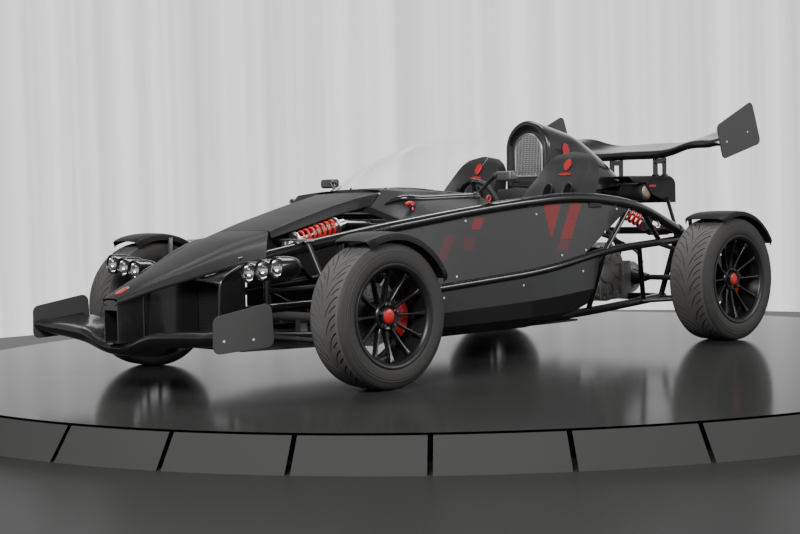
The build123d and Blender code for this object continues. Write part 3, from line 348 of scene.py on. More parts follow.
# Forms: points and faces gathered before they become one piece.
class Form:
    def __init__(self):
        self.points = []
        self.faces = []
        self.paints = []

    def add(self, points, faces, paint=0):
        base = len(self.points)
        self.points += [Vector(p) for p in points]
        self.faces += [[base + i for i in face] for face in faces]
        self.paints += [paint] * len(faces)

    def skin(self, rows, closed=False, ring=False, ends=False, paint=0):
        """Faces over rows of points; closed joins each row to itself, ring the last row to the first."""
        wide = len(rows[0])
        faces = []
        for i in range(len(rows) - (0 if ring else 1)):
            j = (i + 1) % len(rows)
            for k in range(wide - (0 if closed else 1)):
                m = (k + 1) % wide
                faces.append((i * wide + k, i * wide + m, j * wide + m, j * wide + k))
        if ends:
            faces.append(tuple(reversed(range(wide))))
            faces.append(tuple((len(rows) - 1) * wide + k for k in range(wide)))
        self.add([p for row in rows for p in row], faces, paint)

    def turned(self, profile, at, axis, steps=48, paint=0, loop=False):
        """Profile of (along, radius) turned about an axis; loop closes the profile on itself."""
        axis = Vector(axis).normalized()
        side = axis.orthogonal().normalized()
        other = axis.cross(side)
        rows = []
        for k in range(steps):
            angle = 2 * math.pi * k / steps
            out = side * math.cos(angle) + other * math.sin(angle)
            rows.append([Vector(at) + axis * along + out * radius for along, radius in profile])
        self.skin(rows, closed=loop, ring=True, paint=paint)

    def plate(self, outline, across, paint=0):
        """Flat outline given as points, thickened by the vector across."""
        across = Vector(across)
        near = [Vector(p) for p in outline]
        self.skin([near, [p + across for p in near]], closed=True, ends=True, paint=paint)

    def block(self, low, high, paint=0):
        (x0, y0, z0), (x1, y1, z1) = low, high
        self.plate([(x0, y0, z0), (x1, y0, z0), (x1, y1, z0), (x0, y1, z0)], (0, 0, z1 - z0), paint)

    def pipe(self, path, radius, sides=12, paint=0, ends=True):
        """Round bar along a path; radius may be one number or one for each point."""
        path = [Vector(p) for p in path]
        radii = radius if isinstance(radius, (list, tuple)) else [radius] * len(path)
        side = (path[1] - path[0]).orthogonal().normalized()
        rows = []
        for i, p in enumerate(path):
            ahead = (path[min(i + 1, len(path) - 1)] - path[max(i - 1, 0)]).normalized()
            side = (side - ahead * side.dot(ahead)).normalized()
            other = ahead.cross(side)
            turn = [2 * math.pi * k / sides for k in range(sides)]
            rows.append([p + (side * math.cos(a) + other * math.sin(a)) * radii[i] for a in turn])
        self.skin(rows, closed=True, ends=ends, paint=paint)

    def mirrored(self):
        """Adds the same form on the other side of the car."""
        base = len(self.points)
        faces = [[base + i for i in reversed(face)] for face in self.faces]
        self.points += [Vector((p.x, -p.y, p.z)) for p in self.points]
        self.faces += faces
        self.paints += list(self.paints)
        return self


def curve_through(points, steps):
    """Smooth run through the listed points, with the given steps between each two."""
    points = [Vector(p) for p in points]
    last = len(points) - 1
    run = []
    for i in range(last):
        before, a, b, after = points[max(i - 1, 0)], points[i], points[i + 1], points[min(i + 2, last)]
        leave, arrive = (b - before) / 2, (after - a) / 2
        for k in range(steps):
            t = k / steps
            run.append(a + leave * t + (b - a) * 3 * t * t - leave * 2 * t * t - arrive * t * t
                       + ((a - b) * 2 + leave + arrive) * t ** 3)
    return run + [points[-1]]


def rail_run():
    """Centre line of the upper rail: straight runs joined by soft bends."""
    corners = [Vector(p) for p in UPPER_RAIL]
    run = [corners[0]]
    for before, corner, after in zip(corners, corners[1:], corners[2:]):
        reach = 0.45 * min((before - corner).length, (after - corner).length)
        start = corner + (before - corner).normalized() * reach
        end = corner + (after - corner).normalized() * reach
        for k in range(9):
            t = k / 8
            run.append(start * (1 - t) ** 2 + corner * 2 * t * (1 - t) + end * t * t)
    return run + [corners[-1]]


RAIL = rail_run()


def row_at(rows, x):
    """Row at x, between the two listed rows about it; the list runs rearwards."""
    for a, b in zip(rows, rows[1:]):
        if b[0] <= x <= a[0]:
            return Vector(a) + (Vector(b) - Vector(a)) * ((a[0] - x) / (a[0] - b[0]))
    return Vector(rows[-1])


def rail_at(x):
    return row_at(RAIL, x)


def make_mesh(form, name, paints):
    mesh = bpy.data.meshes.new(name)
    mesh.from_pydata([((p.x + AXLE) / 1000, p.y / 1000, p.z / 1000) for p in form.points], [], form.faces)
    for paint in paints:
        mesh.materials.append(PAINT[paint])
    mesh.polygons.foreach_set("material_index", form.paints)
    shape = bmesh.new()
    shape.from_mesh(mesh)
    bmesh.ops.remove_doubles(shape, verts=shape.verts, dist=0.00002)
    bmesh.ops.dissolve_degenerate(shape, dist=0.00001, edges=shape.edges)
    bmesh.ops.recalc_face_normals(shape, faces=shape.faces)
    shape.to_mesh(mesh)
    shape.free()
    return mesh


def add_piece(form, name, body, paints, stands_for=(), edge=0, angle=36, sheet=0, smooth=0, inward=-1):
    """One finished piece: sheet gives a skin its thickness, edge rounds its sharp edges (millimetres)."""
    mesh = make_mesh(form, name, paints)
    piece = bpy.data.objects.new(name, mesh)
    bpy.context.collection.objects.link(piece)
    mesh.shade_smooth()
    if smooth:
        rounder = piece.modifiers.new("round", "SUBSURF")
        rounder.levels = rounder.render_levels = smooth
    if sheet:
        wall = piece.modifiers.new("wall", "SOLIDIFY")
        wall.thickness = sheet / 1000
        wall.offset = inward
    if edge:
        bevel = piece.modifiers.new("edge", "BEVEL")
        bevel.width = edge / 1000
        bevel.segments = 2
        bevel.limit_method = "ANGLE"
        bevel.angle_limit = math.radians(angle)
        bevel.harden_normals = True
    if not smooth:
        mesh.set_sharp_from_angle(angle=math.radians(angle))
    return settle(piece, body, stands_for)


def settle(piece, body, stands_for=()):
    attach(piece, body)
    if stands_for:
        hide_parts(*stands_for)
    return piece


# Geometry Nodes: what repeats or follows a path.
def new_tree(name, inputs):
    tree = bpy.data.node_groups.new(name, "GeometryNodeTree")
    tree.interface.new_socket("Geometry", in_out="INPUT", socket_type="NodeSocketGeometry")
    for label, kind in inputs:
        tree.interface.new_socket(label, in_out="INPUT", socket_type=kind)
    tree.interface.new_socket("Finish", in_out="INPUT", socket_type="NodeSocketMaterial")
    tree.interface.new_socket("Geometry", in_out="OUTPUT", socket_type="NodeSocketGeometry")
    return tree, tree.nodes.new("NodeGroupInput").outputs, tree.nodes.new("NodeGroupOutput").inputs


def step(tree, kind, links=(), **values):
    """One node of a tree, with its inputs linked or set by name."""
    node = tree.nodes.new(kind)
    for label, value in values.items():
        setattr(node, label, value)
    for label, source in links:
        if isinstance(source, (int, float, tuple)):
            node.inputs[label].default_value = source
        else:
            tree.links.new(source, node.inputs[label])
    return node


def close_tree(tree, given, out, geometry):
    real = step(tree, "GeometryNodeRealizeInstances", [("Geometry", geometry)])
    dressed = step(tree, "GeometryNodeSetMaterial",
                   [("Geometry", real.outputs[0]), ("Material", given["Finish"])])
    tree.links.new(dressed.outputs[0], out["Geometry"])
    return tree


def ring_tree():
    """The given shape repeated about an axis."""
    tree, given, out = new_tree("repeat_about_axis", [
        ("Count", "NodeSocketInt"), ("Centre", "NodeSocketVector"), ("Axis", "NodeSocketVector")])
    away = step(tree, "ShaderNodeVectorMath", [(0, given["Centre"])], operation="SCALE")
    away.inputs["Scale"].default_value = -1
    loose = step(tree, "GeometryNodeTransform",
                 [("Geometry", given["Geometry"]), ("Translation", away.outputs[0])])
    spots = step(tree, "GeometryNodePoints", [("Count", given["Count"]), ("Position", given["Centre"])])
    index = step(tree, "GeometryNodeInputIndex")
    share = step(tree, "ShaderNodeMath", [(0, index.outputs[0]), (1, given["Count"])], operation="DIVIDE")
    angle = step(tree, "ShaderNodeMath", [(0, share.outputs[0]), (1, 2 * math.pi)], operation="MULTIPLY")
    turn = step(tree, "FunctionNodeAxisAngleToRotation",
                [("Axis", given["Axis"]), ("Angle", angle.outputs[0])])
    copies = step(tree, "GeometryNodeInstanceOnPoints",
                  [("Points", spots.outputs[0]), ("Instance", loose.outputs[0]),
                   ("Rotation", turn.outputs[0])])
    return close_tree(tree, given, out, copies.outputs[0])


def stud_tree():
    """A fastener on every point of the given mesh, facing the way its point says."""
    tree, given, out = new_tree("fasteners_on_points",
                                [("Fastener", "NodeSocketObject"), ("Size", "NodeSocketFloat")])
    facing = step(tree, "GeometryNodeInputNamedAttribute", data_type="FLOAT_VECTOR")
    facing.inputs["Name"].default_value = "facing"
    turn = step(tree, "FunctionNodeAlignRotationToVector", [("Vector", facing.outputs[0])], axis="Z")
    shape = step(tree, "GeometryNodeObjectInfo", [("Object", given["Fastener"])])
    spots = step(tree, "GeometryNodeMeshToPoints", [("Mesh", given["Geometry"])])
    copies = step(tree, "GeometryNodeInstanceOnPoints",
                  [("Points", spots.outputs[0]), ("Instance", shape.outputs["Geometry"]),
                   ("Rotation", turn.outputs[0]), ("Scale", given["Size"])])
    return close_tree(tree, given, out, copies.outputs[0])


def wire_tree():
    """Round wire along every edge run of the given mesh."""
    tree, given, out = new_tree("wire_on_edges", [("Radius", "NodeSocketFloat"), ("Sides", "NodeSocketInt")])
    runs = step(tree, "GeometryNodeMeshToCurve", [("Mesh", given["Geometry"])])
    section = step(tree, "GeometryNodeCurvePrimitiveCircle",
                   [("Resolution", given["Sides"]), ("Radius", given["Radius"])])
    wire = step(tree, "GeometryNodeCurveToMesh",
                [("Curve", runs.outputs[0]), ("Profile Curve", section.outputs[0])])
    wire.inputs["Fill Caps"].default_value = True
    even = step(tree, "GeometryNodeSetShadeSmooth", [("Geometry", wire.outputs[0])])
    return close_tree(tree, given, out, even.outputs[0])


def coil_tree():
    """Coil spring about +Z, then laid on its axis."""
    tree, given, out = new_tree("coil_spring", [
        ("Turns", "NodeSocketFloat"), ("Coil Radius", "NodeSocketFloat"), ("Wire Radius", "NodeSocketFloat"),
        ("Length", "NodeSocketFloat"), ("Foot", "NodeSocketVector"), ("Along", "NodeSocketVector")])
    helix = step(tree, "GeometryNodeCurveSpiral", [
        ("Rotations", given["Turns"]), ("Start Radius", given["Coil Radius"]),
        ("End Radius", given["Coil Radius"]),
        ("Height", given["Length"])])
    helix.inputs["Resolution"].default_value = 28
    section = step(tree, "GeometryNodeCurvePrimitiveCircle", [("Radius", given["Wire Radius"])])
    section.inputs["Resolution"].default_value = 10
    wire = step(tree, "GeometryNodeCurveToMesh",
                [("Curve", helix.outputs[0]), ("Profile Curve", section.outputs[0])])
    wire.inputs["Fill Caps"].default_value = True
    even = step(tree, "GeometryNodeSetShadeSmooth", [("Geometry", wire.outputs[0])])
    turn = step(tree, "FunctionNodeAlignRotationToVector", [("Vector", given["Along"])], axis="Z")
    spot = step(tree, "GeometryNodePoints", [("Position", given["Foot"])])
    laid = step(tree, "GeometryNodeInstanceOnPoints",
                [("Points", spot.outputs[0]), ("Instance", even.outputs[0]), ("Rotation", turn.outputs[0])])
    return close_tree(tree, given, out, laid.outputs[0])


def row_tree():
    """Thin fins in an even row."""
    tree, given, out = new_tree("fin_row", [
        ("Count", "NodeSocketInt"), ("Start", "NodeSocketVector"), ("Pitch", "NodeSocketVector"),
        ("Fin", "NodeSocketVector")])
    line = step(tree, "GeometryNodeMeshLine", [("Count", given["Count"]), ("Start Location", given["Start"]),
                                               ("Offset", given["Pitch"])])
    fin = step(tree, "GeometryNodeMeshCube", [("Size", given["Fin"])])
    copies = step(tree, "GeometryNodeInstanceOnPoints",
                  [("Points", line.outputs[0]), ("Instance", fin.outputs[0])])
    return close_tree(tree, given, out, copies.outputs[0])


RING = ring_tree()
STUDS = stud_tree()
WIRES = wire_tree()
COIL = coil_tree()
FINS = row_tree()


def row(p):
    return ((p[0] + AXLE) / 1000, p[1] / 1000, p[2] / 1000)


def grow(name, tree, values, paint, mesh=None):
    """Mesh that a tree makes from its named inputs."""
    seed = bpy.data.objects.new(name + "_seed", mesh or bpy.data.meshes.new(name + "_seed"))
    bpy.context.collection.objects.link(seed)
    maker = seed.modifiers.new("maker", "NODES")
    maker.node_group = tree
    named = {item.name: item.identifier for item in tree.interface.items_tree if item.in_out == "INPUT"}
    for label, value in {**values, "Finish": PAINT[paint]}.items():
        maker[named[label]] = value
    grown = bpy.data.meshes.new_from_object(seed.evaluated_get(bpy.context.evaluated_depsgraph_get()))
    bpy.data.objects.remove(seed)
    return grown


def add_grown(meshes, name, body, stands_for=(), angle=36):
    """One piece from the meshes that trees made for it."""
    shape = bmesh.new()
    paints = []
    for mesh in meshes:
        start = len(shape.faces)
        shape.from_mesh(mesh)
        shape.faces.ensure_lookup_table()
        paint = mesh.materials[mesh.polygons[0].material_index]
        if paint not in paints:
            paints.append(paint)
        for face in shape.faces[start:]:
            face.material_index = paints.index(paint)
            face.smooth = True
    whole = bpy.data.meshes.new(name)
    shape.to_mesh(whole)
    shape.free()
    for paint in paints:
        whole.materials.append(paint)
    whole.set_sharp_from_angle(angle=math.radians(angle))
    piece = bpy.data.objects.new(name, whole)
    bpy.context.collection.objects.link(piece)
    return settle(piece, body, stands_for)


def point_mesh(name, spots):
    """Points with the way each one faces, for fasteners."""
    mesh = bpy.data.meshes.new(name)
    mesh.from_pydata([row(at) for at, facing in spots], [], [])
    ways = mesh.attributes.new("facing", "FLOAT_VECTOR", "POINT")
    for item, (at, facing) in zip(ways.data, spots):
        item.vector = Vector(facing).normalized()
    return mesh


def run_mesh(name, runs):
    """Edge runs for wires."""
    points, edges = [], []
    for run in runs:
        base = len(points)
        points += [row(p) for p in run]
        edges += [(base + k, base + k + 1) for k in range(len(run) - 1)]
    mesh = bpy.data.meshes.new(name)
    mesh.from_pydata(points, edges, [])
    return mesh


def fastener(name, radius, height, hexagon):
    """Bolt or rivet head about the origin, facing +Z, in metres."""
    form = Form()
    if hexagon:
        form.turned([(0, 0), (0, radius * 1.35), (height * 0.25, radius * 1.35), (height * 0.25, radius)],
                    (0, 0, 0), (0, 0, 1), 18)
        form.turned([(height * 0.25, radius), (height * 0.9, radius), (height, radius * 0.84), (height, 0)],
                    (0, 0, 0), (0, 0, 1), 6)
    else:
        form.turned([(0, 0), (0, radius), (height * 0.5, radius * 0.92), (height * 0.85, radius * 0.6),
                     (height, radius * 0.3), (height, 0)], (0, 0, 0), (0, 0, 1), 12)
    mesh = bpy.data.meshes.new(name)
    mesh.from_pydata([p / 1000 for p in form.points], [], form.faces)
    shape = bmesh.new()
    shape.from_mesh(mesh)
    bmesh.ops.remove_doubles(shape, verts=shape.verts, dist=0.000002)
    bmesh.ops.recalc_face_normals(shape, faces=shape.faces)
    shape.to_mesh(mesh)
    shape.free()
    head = bpy.data.objects.new(name, mesh)
    bpy.context.collection.objects.link(head)
    return head


HEX_HEAD = fastener("hex_head", 6, 5, True)
DOME_HEAD = fastener("dome_head", 5, 3, False)


def studs(spots, head, size, paint, name):
    return grow(name, STUDS, {"Fastener": head, "Size": size}, paint, point_mesh(name, spots))


# Wheels and tyres.
PITCHES = 26
GROOVE = 3.0
TREAD_INSET = 28


def tyre_sections(size):
    """Rows across the tyre from the inner bead to the outer one: offset, radius, tread share."""
    radius, width, bead, rim = size
    half = width / 2
    foot = rim / 2
    tread = half - TREAD_INSET
    wall = [(foot - 12, bead + 2), (foot - 1, bead + 3), (foot + 2, bead + 10), (foot + 1, bead + 16),
            (foot + 4, bead + 19), (half - 2, bead + 0.3 * (radius - bead)),
            (half, bead + 0.45 * (radius - bead)), (half - 0.6, bead + 0.58 * (radius - bead)),
            (half - 2.6, bead + 0.6 * (radius - bead)), (half - 2.4, radius - 33),
            (half - 4.4, radius - 30), (half - 7, radius - 20), (half - 12, radius - 10),
            (half - 19, radius - 4)]
    side = [(y, r, 0) for y, r in wall]
    shares = (1, 0.95, 0.9, 0.78, 0.66, 0.54, 0.42, 0.3, 0.2, 0.12)
    inner = [(tread * f, radius - 1.6 * f ** 3, 1) for f in shares]
    half_rows = side + inner
    return [(-y, r, t) for y, r, t in half_rows] + [(0, radius, 1)] + half_rows[::-1]


def tyre_form(x, y, size):
    """Carcass with swept grooves: the rows are sheared along them, so a groove wall is one line of faces."""
    radius, width = size[:2]
    tread = width / 2 - TREAD_INSET
    pitch = 2 * math.pi / PITCHES
    # Share of one pitch, half grooves to either side, and which groove, long or short, is open there.
    columns = [(0, -1, 0), (0, -0.75, 1), (0, 0.75, 1), (0, 1, 0), (0.25, 0, 0), (0.5, -1, 0),
               (0.5, -0.75, 2), (0.5, 0.75, 2), (0.5, 1, 0), (0.75, 0, 0)]
    rows = []
    for offset, r, open_tread in tyre_sections(size):
        f = min(1, abs(offset) / tread)
        sweep = 0.5 * (1 - math.exp(-2.3 * f))
        slant = radius * 0.5 * 2.3 * math.exp(-2.3 * f) / tread
        cut = GROOVE / radius * math.hypot(1, slant)
        long_depth = 7 * max(0, min(1, (f - 0.1) * 12, (0.99 - f) * 16)) * open_tread
        short_depth = 6 * max(0, min(1, (f - 0.42) * 9, (0.96 - f) * 16)) * open_tread
        ring = []
        for k in range(PITCHES):
            for share, side, groove in columns:
                a = (k + share) * pitch + side * cut - sweep
                depth = (0, long_depth, short_depth)[groove]
                ring.append((x + (r - depth) * math.sin(a), y + offset, radius + (r - depth) * math.cos(a)))
        rows.append(ring)
    form = Form()
    form.skin(rows, closed=True)
    form.skin([rows[-1], rows[0]], closed=True)
    shoulder = width / 2 - 20
    for i, face in enumerate(form.faces):
        middle = sum(abs(form.points[v].y - y) for v in face) / len(face)
        form.paints[i] = 1 if middle < shoulder else 0
    return form


def spoke_form(x, y, out, size):
    """One slender spoke: wide at the hub and the rim, hollow-backed between them."""
    radius, _, bead, rim = size
    half = rim / 2
    rows = []
    # Share of the way out, half width, front face set-back, depth.
    for t, w, face, deep in ((0, 13, 44, 34), (0.12, 9, 43, 32), (0.3, 6.6, 39, 29), (0.55, 6.0, 31, 26),
                             (0.78, 6.6, 21, 24), (0.92, 9, 14, 24), (1, 14, 11, 26)):
        r = 46 + t * (bead - 12 - 46)
        front = half - face
        section = [(-w, front - 4), (-w + 3, front), (w - 3, front), (w, front - 4),
                   (w * 0.8, front - deep * 0.55), (w * 0.55, front - deep), (-w * 0.55, front - deep),
                   (-w * 0.8, front - deep * 0.55)]
        rows.append([(x + across, y + out * along, radius + r) for across, along in section])
    form = Form()
    form.skin(rows, closed=True, ends=True)
    return form


def wheel_pieces(corner, x, y, size):
    radius, _, bead, rim = size
    half = rim / 2
    out = 1 if y > 0 else -1
    body = "wheel_" + corner
    hub = (x, y, radius)
    axis = (0, out, 0)
    rim_form = Form()
    rim_form.turned([(half + 6.5, bead + 14), (half + 7, bead + 10), (half + 5, bead + 3),
                     (half - 2, bead - 5), (half - 8, bead - 9), (half - 34, bead - 11),
                     (half - 50, bead - 22), (44 - half, bead - 22), (28 - half, bead - 9),
                     (-half - 5, bead - 8), (-half - 7, bead + 8), (-half - 4, bead + 15),
                     (-half, bead + 14), (-half, bead), (32 - half, bead), (48 - half, bead - 14),
                     (half - 48, bead - 14), (half - 32, bead), (half, bead), (half, bead + 14)], hub, axis,
                    96, 0, True)
    for i, face in enumerate(rim_form.faces):
        along = sum((rim_form.points[v].y - y) * out for v in face) / len(face)
        depth = sum(math.hypot(rim_form.points[v].x - x, rim_form.points[v].z - radius)
                    for v in face) / len(face)
        rim_form.paints[i] = 1 if along > half - 12 and depth > bead - 10 else 0
    rim_form.turned([(half - 82, 18.4), (half - 82, 62), (half - 52, 62), (half - 40, 58), (half - 36, 52),
                     (half - 40, 36), (half - 44, 33), (half - 44, 18.4)], hub, axis, 48, 0, True)
    add_piece(rim_form, "rim_" + corner, body, ["wheel_black", "rim_lip"],
              ["wheel_" + corner], 1.2, 40)
    spokes = make_mesh(spoke_form(x, y, out, size), "spoke", ["wheel_black"])
    bevelled = bpy.data.objects.new("spoke", spokes)
    bpy.context.collection.objects.link(bevelled)
    soft = bevelled.modifiers.new("edge", "BEVEL")
    soft.width = 0.0014
    soft.segments = 2
    soft.angle_limit = math.radians(30)
    one = bpy.data.meshes.new_from_object(bevelled.evaluated_get(bpy.context.evaluated_depsgraph_get()))
    bpy.data.objects.remove(bevelled)
    centre = row(hub)

    def about_hub(name, count, paint, mesh):
        return grow(name, RING, {"Count": count, "Centre": centre, "Axis": (0, 1, 0)}, paint, mesh)

    twelve = about_hub("spokes", 12, "wheel_black", one)
    nut = Form()
    nut.turned([(half - 40, 0), (half - 40, 11), (half - 36, 11), (half - 34, 9), (half - 22, 8.5),
                (half - 20, 6), (half - 20, 0)], (x, y, radius + 46), axis, 6)
    nuts = about_hub("nuts", 5, "dark_steel", make_mesh(nut, "nut", ["dark_steel"]))
    # The drilled holes are thin matte black discs on the disc face: painted shade where the holes would be.
    drillings = []
    for turn, r in ((0, 84), (7.5, 98), (3.7, 112)):
        shade_disc = Form()
        a = math.radians(turn)
        at = (x + r * math.sin(a), y - out * 29, radius + r * math.cos(a))
        shade_disc.turned([(0, 0), (0, 3.4), (0.3, 3.4), (0.3, 0)], at, axis, 8)
        drillings.append(about_hub("drillings", 24, "matte_black",
                                   make_mesh(shade_disc, "hole_shade_disc", ["matte_black"])))
    add_grown([twelve, nuts], "spokes_" + corner, body, angle=32)
    add_grown(drillings, "disc_drillings_" + corner, body)
    disc = Form()
    disc.turned([(-29, 66), (-29, 122), (-37, 122), (-37, 68), (-43, 68), (-43, 122), (-51, 122), (-51, 60),
                 (-47, 54), (-33, 54), (-33, 62)], hub, axis, 72, 0, True)
    disc.turned([(-44, 18.4), (-44, 56), (-30, 56), (half - 80, 40), (half - 80, 18.4)], hub, axis, 48, 1,
                True)
    add_piece(disc, "brake_disc_" + corner, body, ["disc_steel", "dark_steel"], (), 0.8, 40)
    cap = Form()
    cap.turned([(half - 44, 30), (half - 30, 30), (half - 27, 27), (half - 25, 24), (half - 24, 12),
                (half - 23.5, 0)], hub, axis, 40)
    cap.turned([(half - 30, 31), (half - 26, 32), (half - 28, 34), (half - 40, 34)], hub, axis, 40, 1)
    add_piece(cap, "centre_cap_" + corner, body, ["trim_red", "dark_steel"])
    rubber = tyre_form(x, y, size)
    add_piece(rubber, "rubber_" + corner, body, ["rubber", "tread"], ["tyre_" + corner], 0, 32)


for corner in CORNERS:
    wheel_pieces(*corner)


# Brake calipers over the solid ones, about each wheel's axis.
def caliper(corner, x, y, size, spread):
    radius = size[0]
    out = 1 if y > 0 else -1
    centre = math.radians(-100)
    form = Form()
    rows = []
    for k in range(13):
        a = centre + math.radians(spread + 3) * (k / 12 - 0.5)
        ease = 1 - abs(k / 6 - 1) ** 4
        low, high = 74 + 6 * (1 - ease), 154 - 14 * (1 - ease)
        section = [(3, low - 1), (6, low + 10), (13, high - 14), (6, high + 1), (-66, high + 1),
                   (-75.5, high - 12), (-75.5, low - 1), (-52.5, low - 1), (-52.5, 125.5), (-27, 125.5),
                   (-27, low - 1)]
        rows.append([(x + r * math.sin(a), y + out * along, radius + r * math.cos(a))
                     for along, r in section])
    form.skin(rows, closed=True, ends=True)
    for turn in (-14, 0, 14):
        a = centre + math.radians(turn)
        at = (x + 120 * math.sin(a), y + out * 7, radius + 120 * math.cos(a))
        form.turned([(0, 0), (0, 13), (4, 13), (5, 11), (5, 0)], at, (0, out, 0), 24)
    body = "knuckle_" + corner[6:] if corner.startswith("front") else "chassis"
    add_piece(form, "caliper_" + corner, body, ["trim_red"], (), 2, 40)


for corner, x, y, size in CORNERS:
    caliper(corner, x, y, size, 56 if x == 0 else 50)


# Coil springs on the dampers: foot, head, start and end between them, turns, coil radius, wire radius.
SPRINGS = [((20, 250, 566), (-320, 250, 650), 62, 278, 7.5, 30, 6),
           ((REAR + 180, 235, 700), (REAR + 145, 500, 566), 46, 232, 7, 40, 8)]


def springs():
    coils = []
    collars = Form()
    for foot, head, start, end, turns, coil, wire in SPRINGS:
        for s in (1, -1):
            a = Vector((foot[0], s * foot[1], foot[2]))
            along = (Vector((head[0], s * head[1], head[2])) - a).normalized()
            coils.append(grow("coil", COIL, {
                "Turns": turns, "Coil Radius": coil / 1000, "Wire Radius": wire / 1000,
                "Length": (end - start) / 1000,
                "Foot": row(a + along * start), "Along": along}, "spring_red"))
            for near, far in ((start - 8, start - 1), (end + 1, end + 9)):
                collars.turned([(near, 20.4), (near, coil + 7), (near + 2, coil + 8.5),
                                (far - 2, coil + 8.5), (far, coil + 7), (far, 20.4)], a, along, 36, 0, True)
    add_grown(coils, "coil_springs", "chassis", ["springs"])
    add_piece(collars, "spring_collars", "chassis", ["bright_steel"], (), 0.6)


springs()


# Bodywork: nose, hatch and cockpit edge.
def even_values(rows, steps):
    """Section values on a smooth run through the listed sections."""
    return [tuple(v) for v in curve_through(rows, steps)]


def crown_point(share, top, crease_y, crease_z):
    return (crease_y * share, top - (top - crease_z) * share * share)


def both_sides(half):
    """Both halves of a section drawn in space from its left edge to the middle."""
    return half + [(x, -y, z) for x, y, z in reversed(half[:-1])]


# Nose: fold of the top panel (x, middle height, half width, height), then its lower edge (x, half
# width, height).
NOSE = [(720, 380, 48, 377, 720, 53, 366), (590, 440, 67, 436, 590, 103, 411),
        (450, 494, 95, 490, 470, 158, 446), (290, 556, 119, 551, 330, 240, 488),
        (170, 597, 141, 592, 250, 286, 508), (50, 627, 174, 623, 184, 325, 523)]


def nose_skin():
    skin = Form()
    rows = []
    for fold_x, top, cy, cz, edge_x, ey, ez in even_values(NOSE, 4):
        half = [(edge_x, ey - 20, ez - 17), (edge_x, ey - 9, ez - 16), (edge_x, ey - 2, ez - 11),
                (edge_x, ey, ez - 3)]
        for t in (0.07, 0.16, 0.28, 0.4, 0.52, 0.64, 0.76, 0.88, 0.98):
            swell = 0.14 * (ey - cy) * math.sin(math.pi * min(1, t / 0.8)) ** 1.7
            half.append((edge_x + (fold_x - edge_x) * t, ey + (cy - ey) * t, ez + (cz - ez) * t + swell))
        half += [(fold_x, *crown_point(s, top, cy, cz)) for s in (0.97, 0.84, 0.6, 0.3, 0)]
        rows.append(both_sides(half))
    skin.skin(rows)
    add_piece(skin, "nose_skin", "chassis", ["body_grey"], ["nose_cone"], 1.6, 20, 4)


def nose_keel():
    keel = Form()
    for s in (1, -1):
        keel.plate([(719, s * 44, 200), (719, s * 44, 362), (600, s * 44, 408), (560, s * 44, 400),
                    (590, s * 44, 200)], (0, s * 7, 0))
        keel.plate([(590, s * 40, 210), (590, s * 40, 400), (470, s * 66, 432), (362, s * 90, 440),
                    (362, s * 90, 210)], (0, s * 4, 0))
        keel.pipe([(598, s * 52, 214), (598, s * 52, 404)], 5, 10)
    keel.plate([(719, -45, 330), (719, 45, 330), (719, 50, 366), (719, 24, 373), (719, -24, 373),
                (719, -50, 366)], (-6, 0, 0))
    keel.plate([(720, 50, 200), (640, 50, 200), (415, 305, 200), (278, 305, 200), (278, -305, 200),
                (415, -305, 200), (640, -50, 200), (720, -50, 200)], (0, 0, 6), 1)
    add_piece(keel, "nose_keel", "chassis", ["body_black", "matte_black"], (), 2, 40)


def side_ducts():
    duct = Form()
    lip = [(430, 143, 438), (400, 157, 446), (350, 190, 462), (278, 220, 484)]
    wall = [(415, 200), (409, 310), (403, 420), (375, 452), (278, 500)]
    duct.plate([(x, 299, z) for x, z in wall] + [(278, 299, 200)], (0, 6, 0))
    outer = [(403, 302, 420), (375, 302, 452), (330, 302, 474), (278, 302, 498)]
    duct.skin([[(x, y, z - 2) for x, y, z in lip], outer])
    duct.pipe(curve_through([(414, 302, 204), (409, 302, 320), (401, 302, 420), (372, 302, 452),
                             (300, 302, 488)], 5), 7, 10)
    duct.pipe(curve_through([(403, 302, 424), (418, 230, 436), (428, 160, 440)], 6), 6, 10)
    duct.pipe([(412, 62, 206), (412, 300, 206)], 6, 10)
    add_piece(duct.mirrored(), "side_ducts", "chassis", ["body_black"], (), 1.2, 40)


def nose_patch():
    badge = Form()
    rows = []
    for x, half in ((692, 8), (686, 17), (672, 21), (652, 21), (638, 17), (632, 8)):
        z = 380 + (720 - x) * 0.4615
        rows.append([(x, y, z + 1.2 - 0.0009 * y * y) for y in (-half, -half / 2, 0, half / 2, half)])
    badge.skin(rows)
    add_piece(badge, "nose_patch", "chassis", ["trim_red"], (), 0, 40, 1.4)


nose_skin()
nose_keel()
side_ducts()
nose_patch()


def hatch_edge(x):
    """Lower edge of the shoulder, on the upper rail."""
    rail = rail_at(x)
    return (rail.y - 17, rail.z + 17.5)


# Hatch between the front dampers: x, middle height, half width and height of its fold, depth of the skirt.
HATCH = [(46, 628, 174, 624, 32), (-50, 658, 178, 654, 40), (-150, 686, 176, 682, 46),
         (-250, 713, 174, 709, 49),
         (-350, 738, 177, 734, 50), (-450, 760, 186, 756, 52), (-548, 780, 212, 775, 57)]
COWL = [(-560, 792, 372, 774), (-700, 798, 386, 773), (-820, 794, 407, 763), (-935, 786, 428, 752)]
COAMING = [(-500, 300, 722, 2), (-507, 320, 730, 7), (-518, 345, 738, 11), (-534, 374, 745, 15),
           (-562, 399, 744, 17), (-610, 412, 740, 17.5), (-700, 427, 741, 17.5), (-800, 443, 744, 17.5),
           (-900, 460, 746, 17.5), (-915, 462, 746, 16.5), (-922, 463, 746, 13.5), (-926, 464, 746, 8),
           (-928, 464, 746, 2)]


def opening_y(x):
    """Half width of the cockpit opening, with round front corners."""
    back = min(90, -790 - x)
    return 312 + math.sqrt(max(0, 90 ** 2 - (90 - back) ** 2))


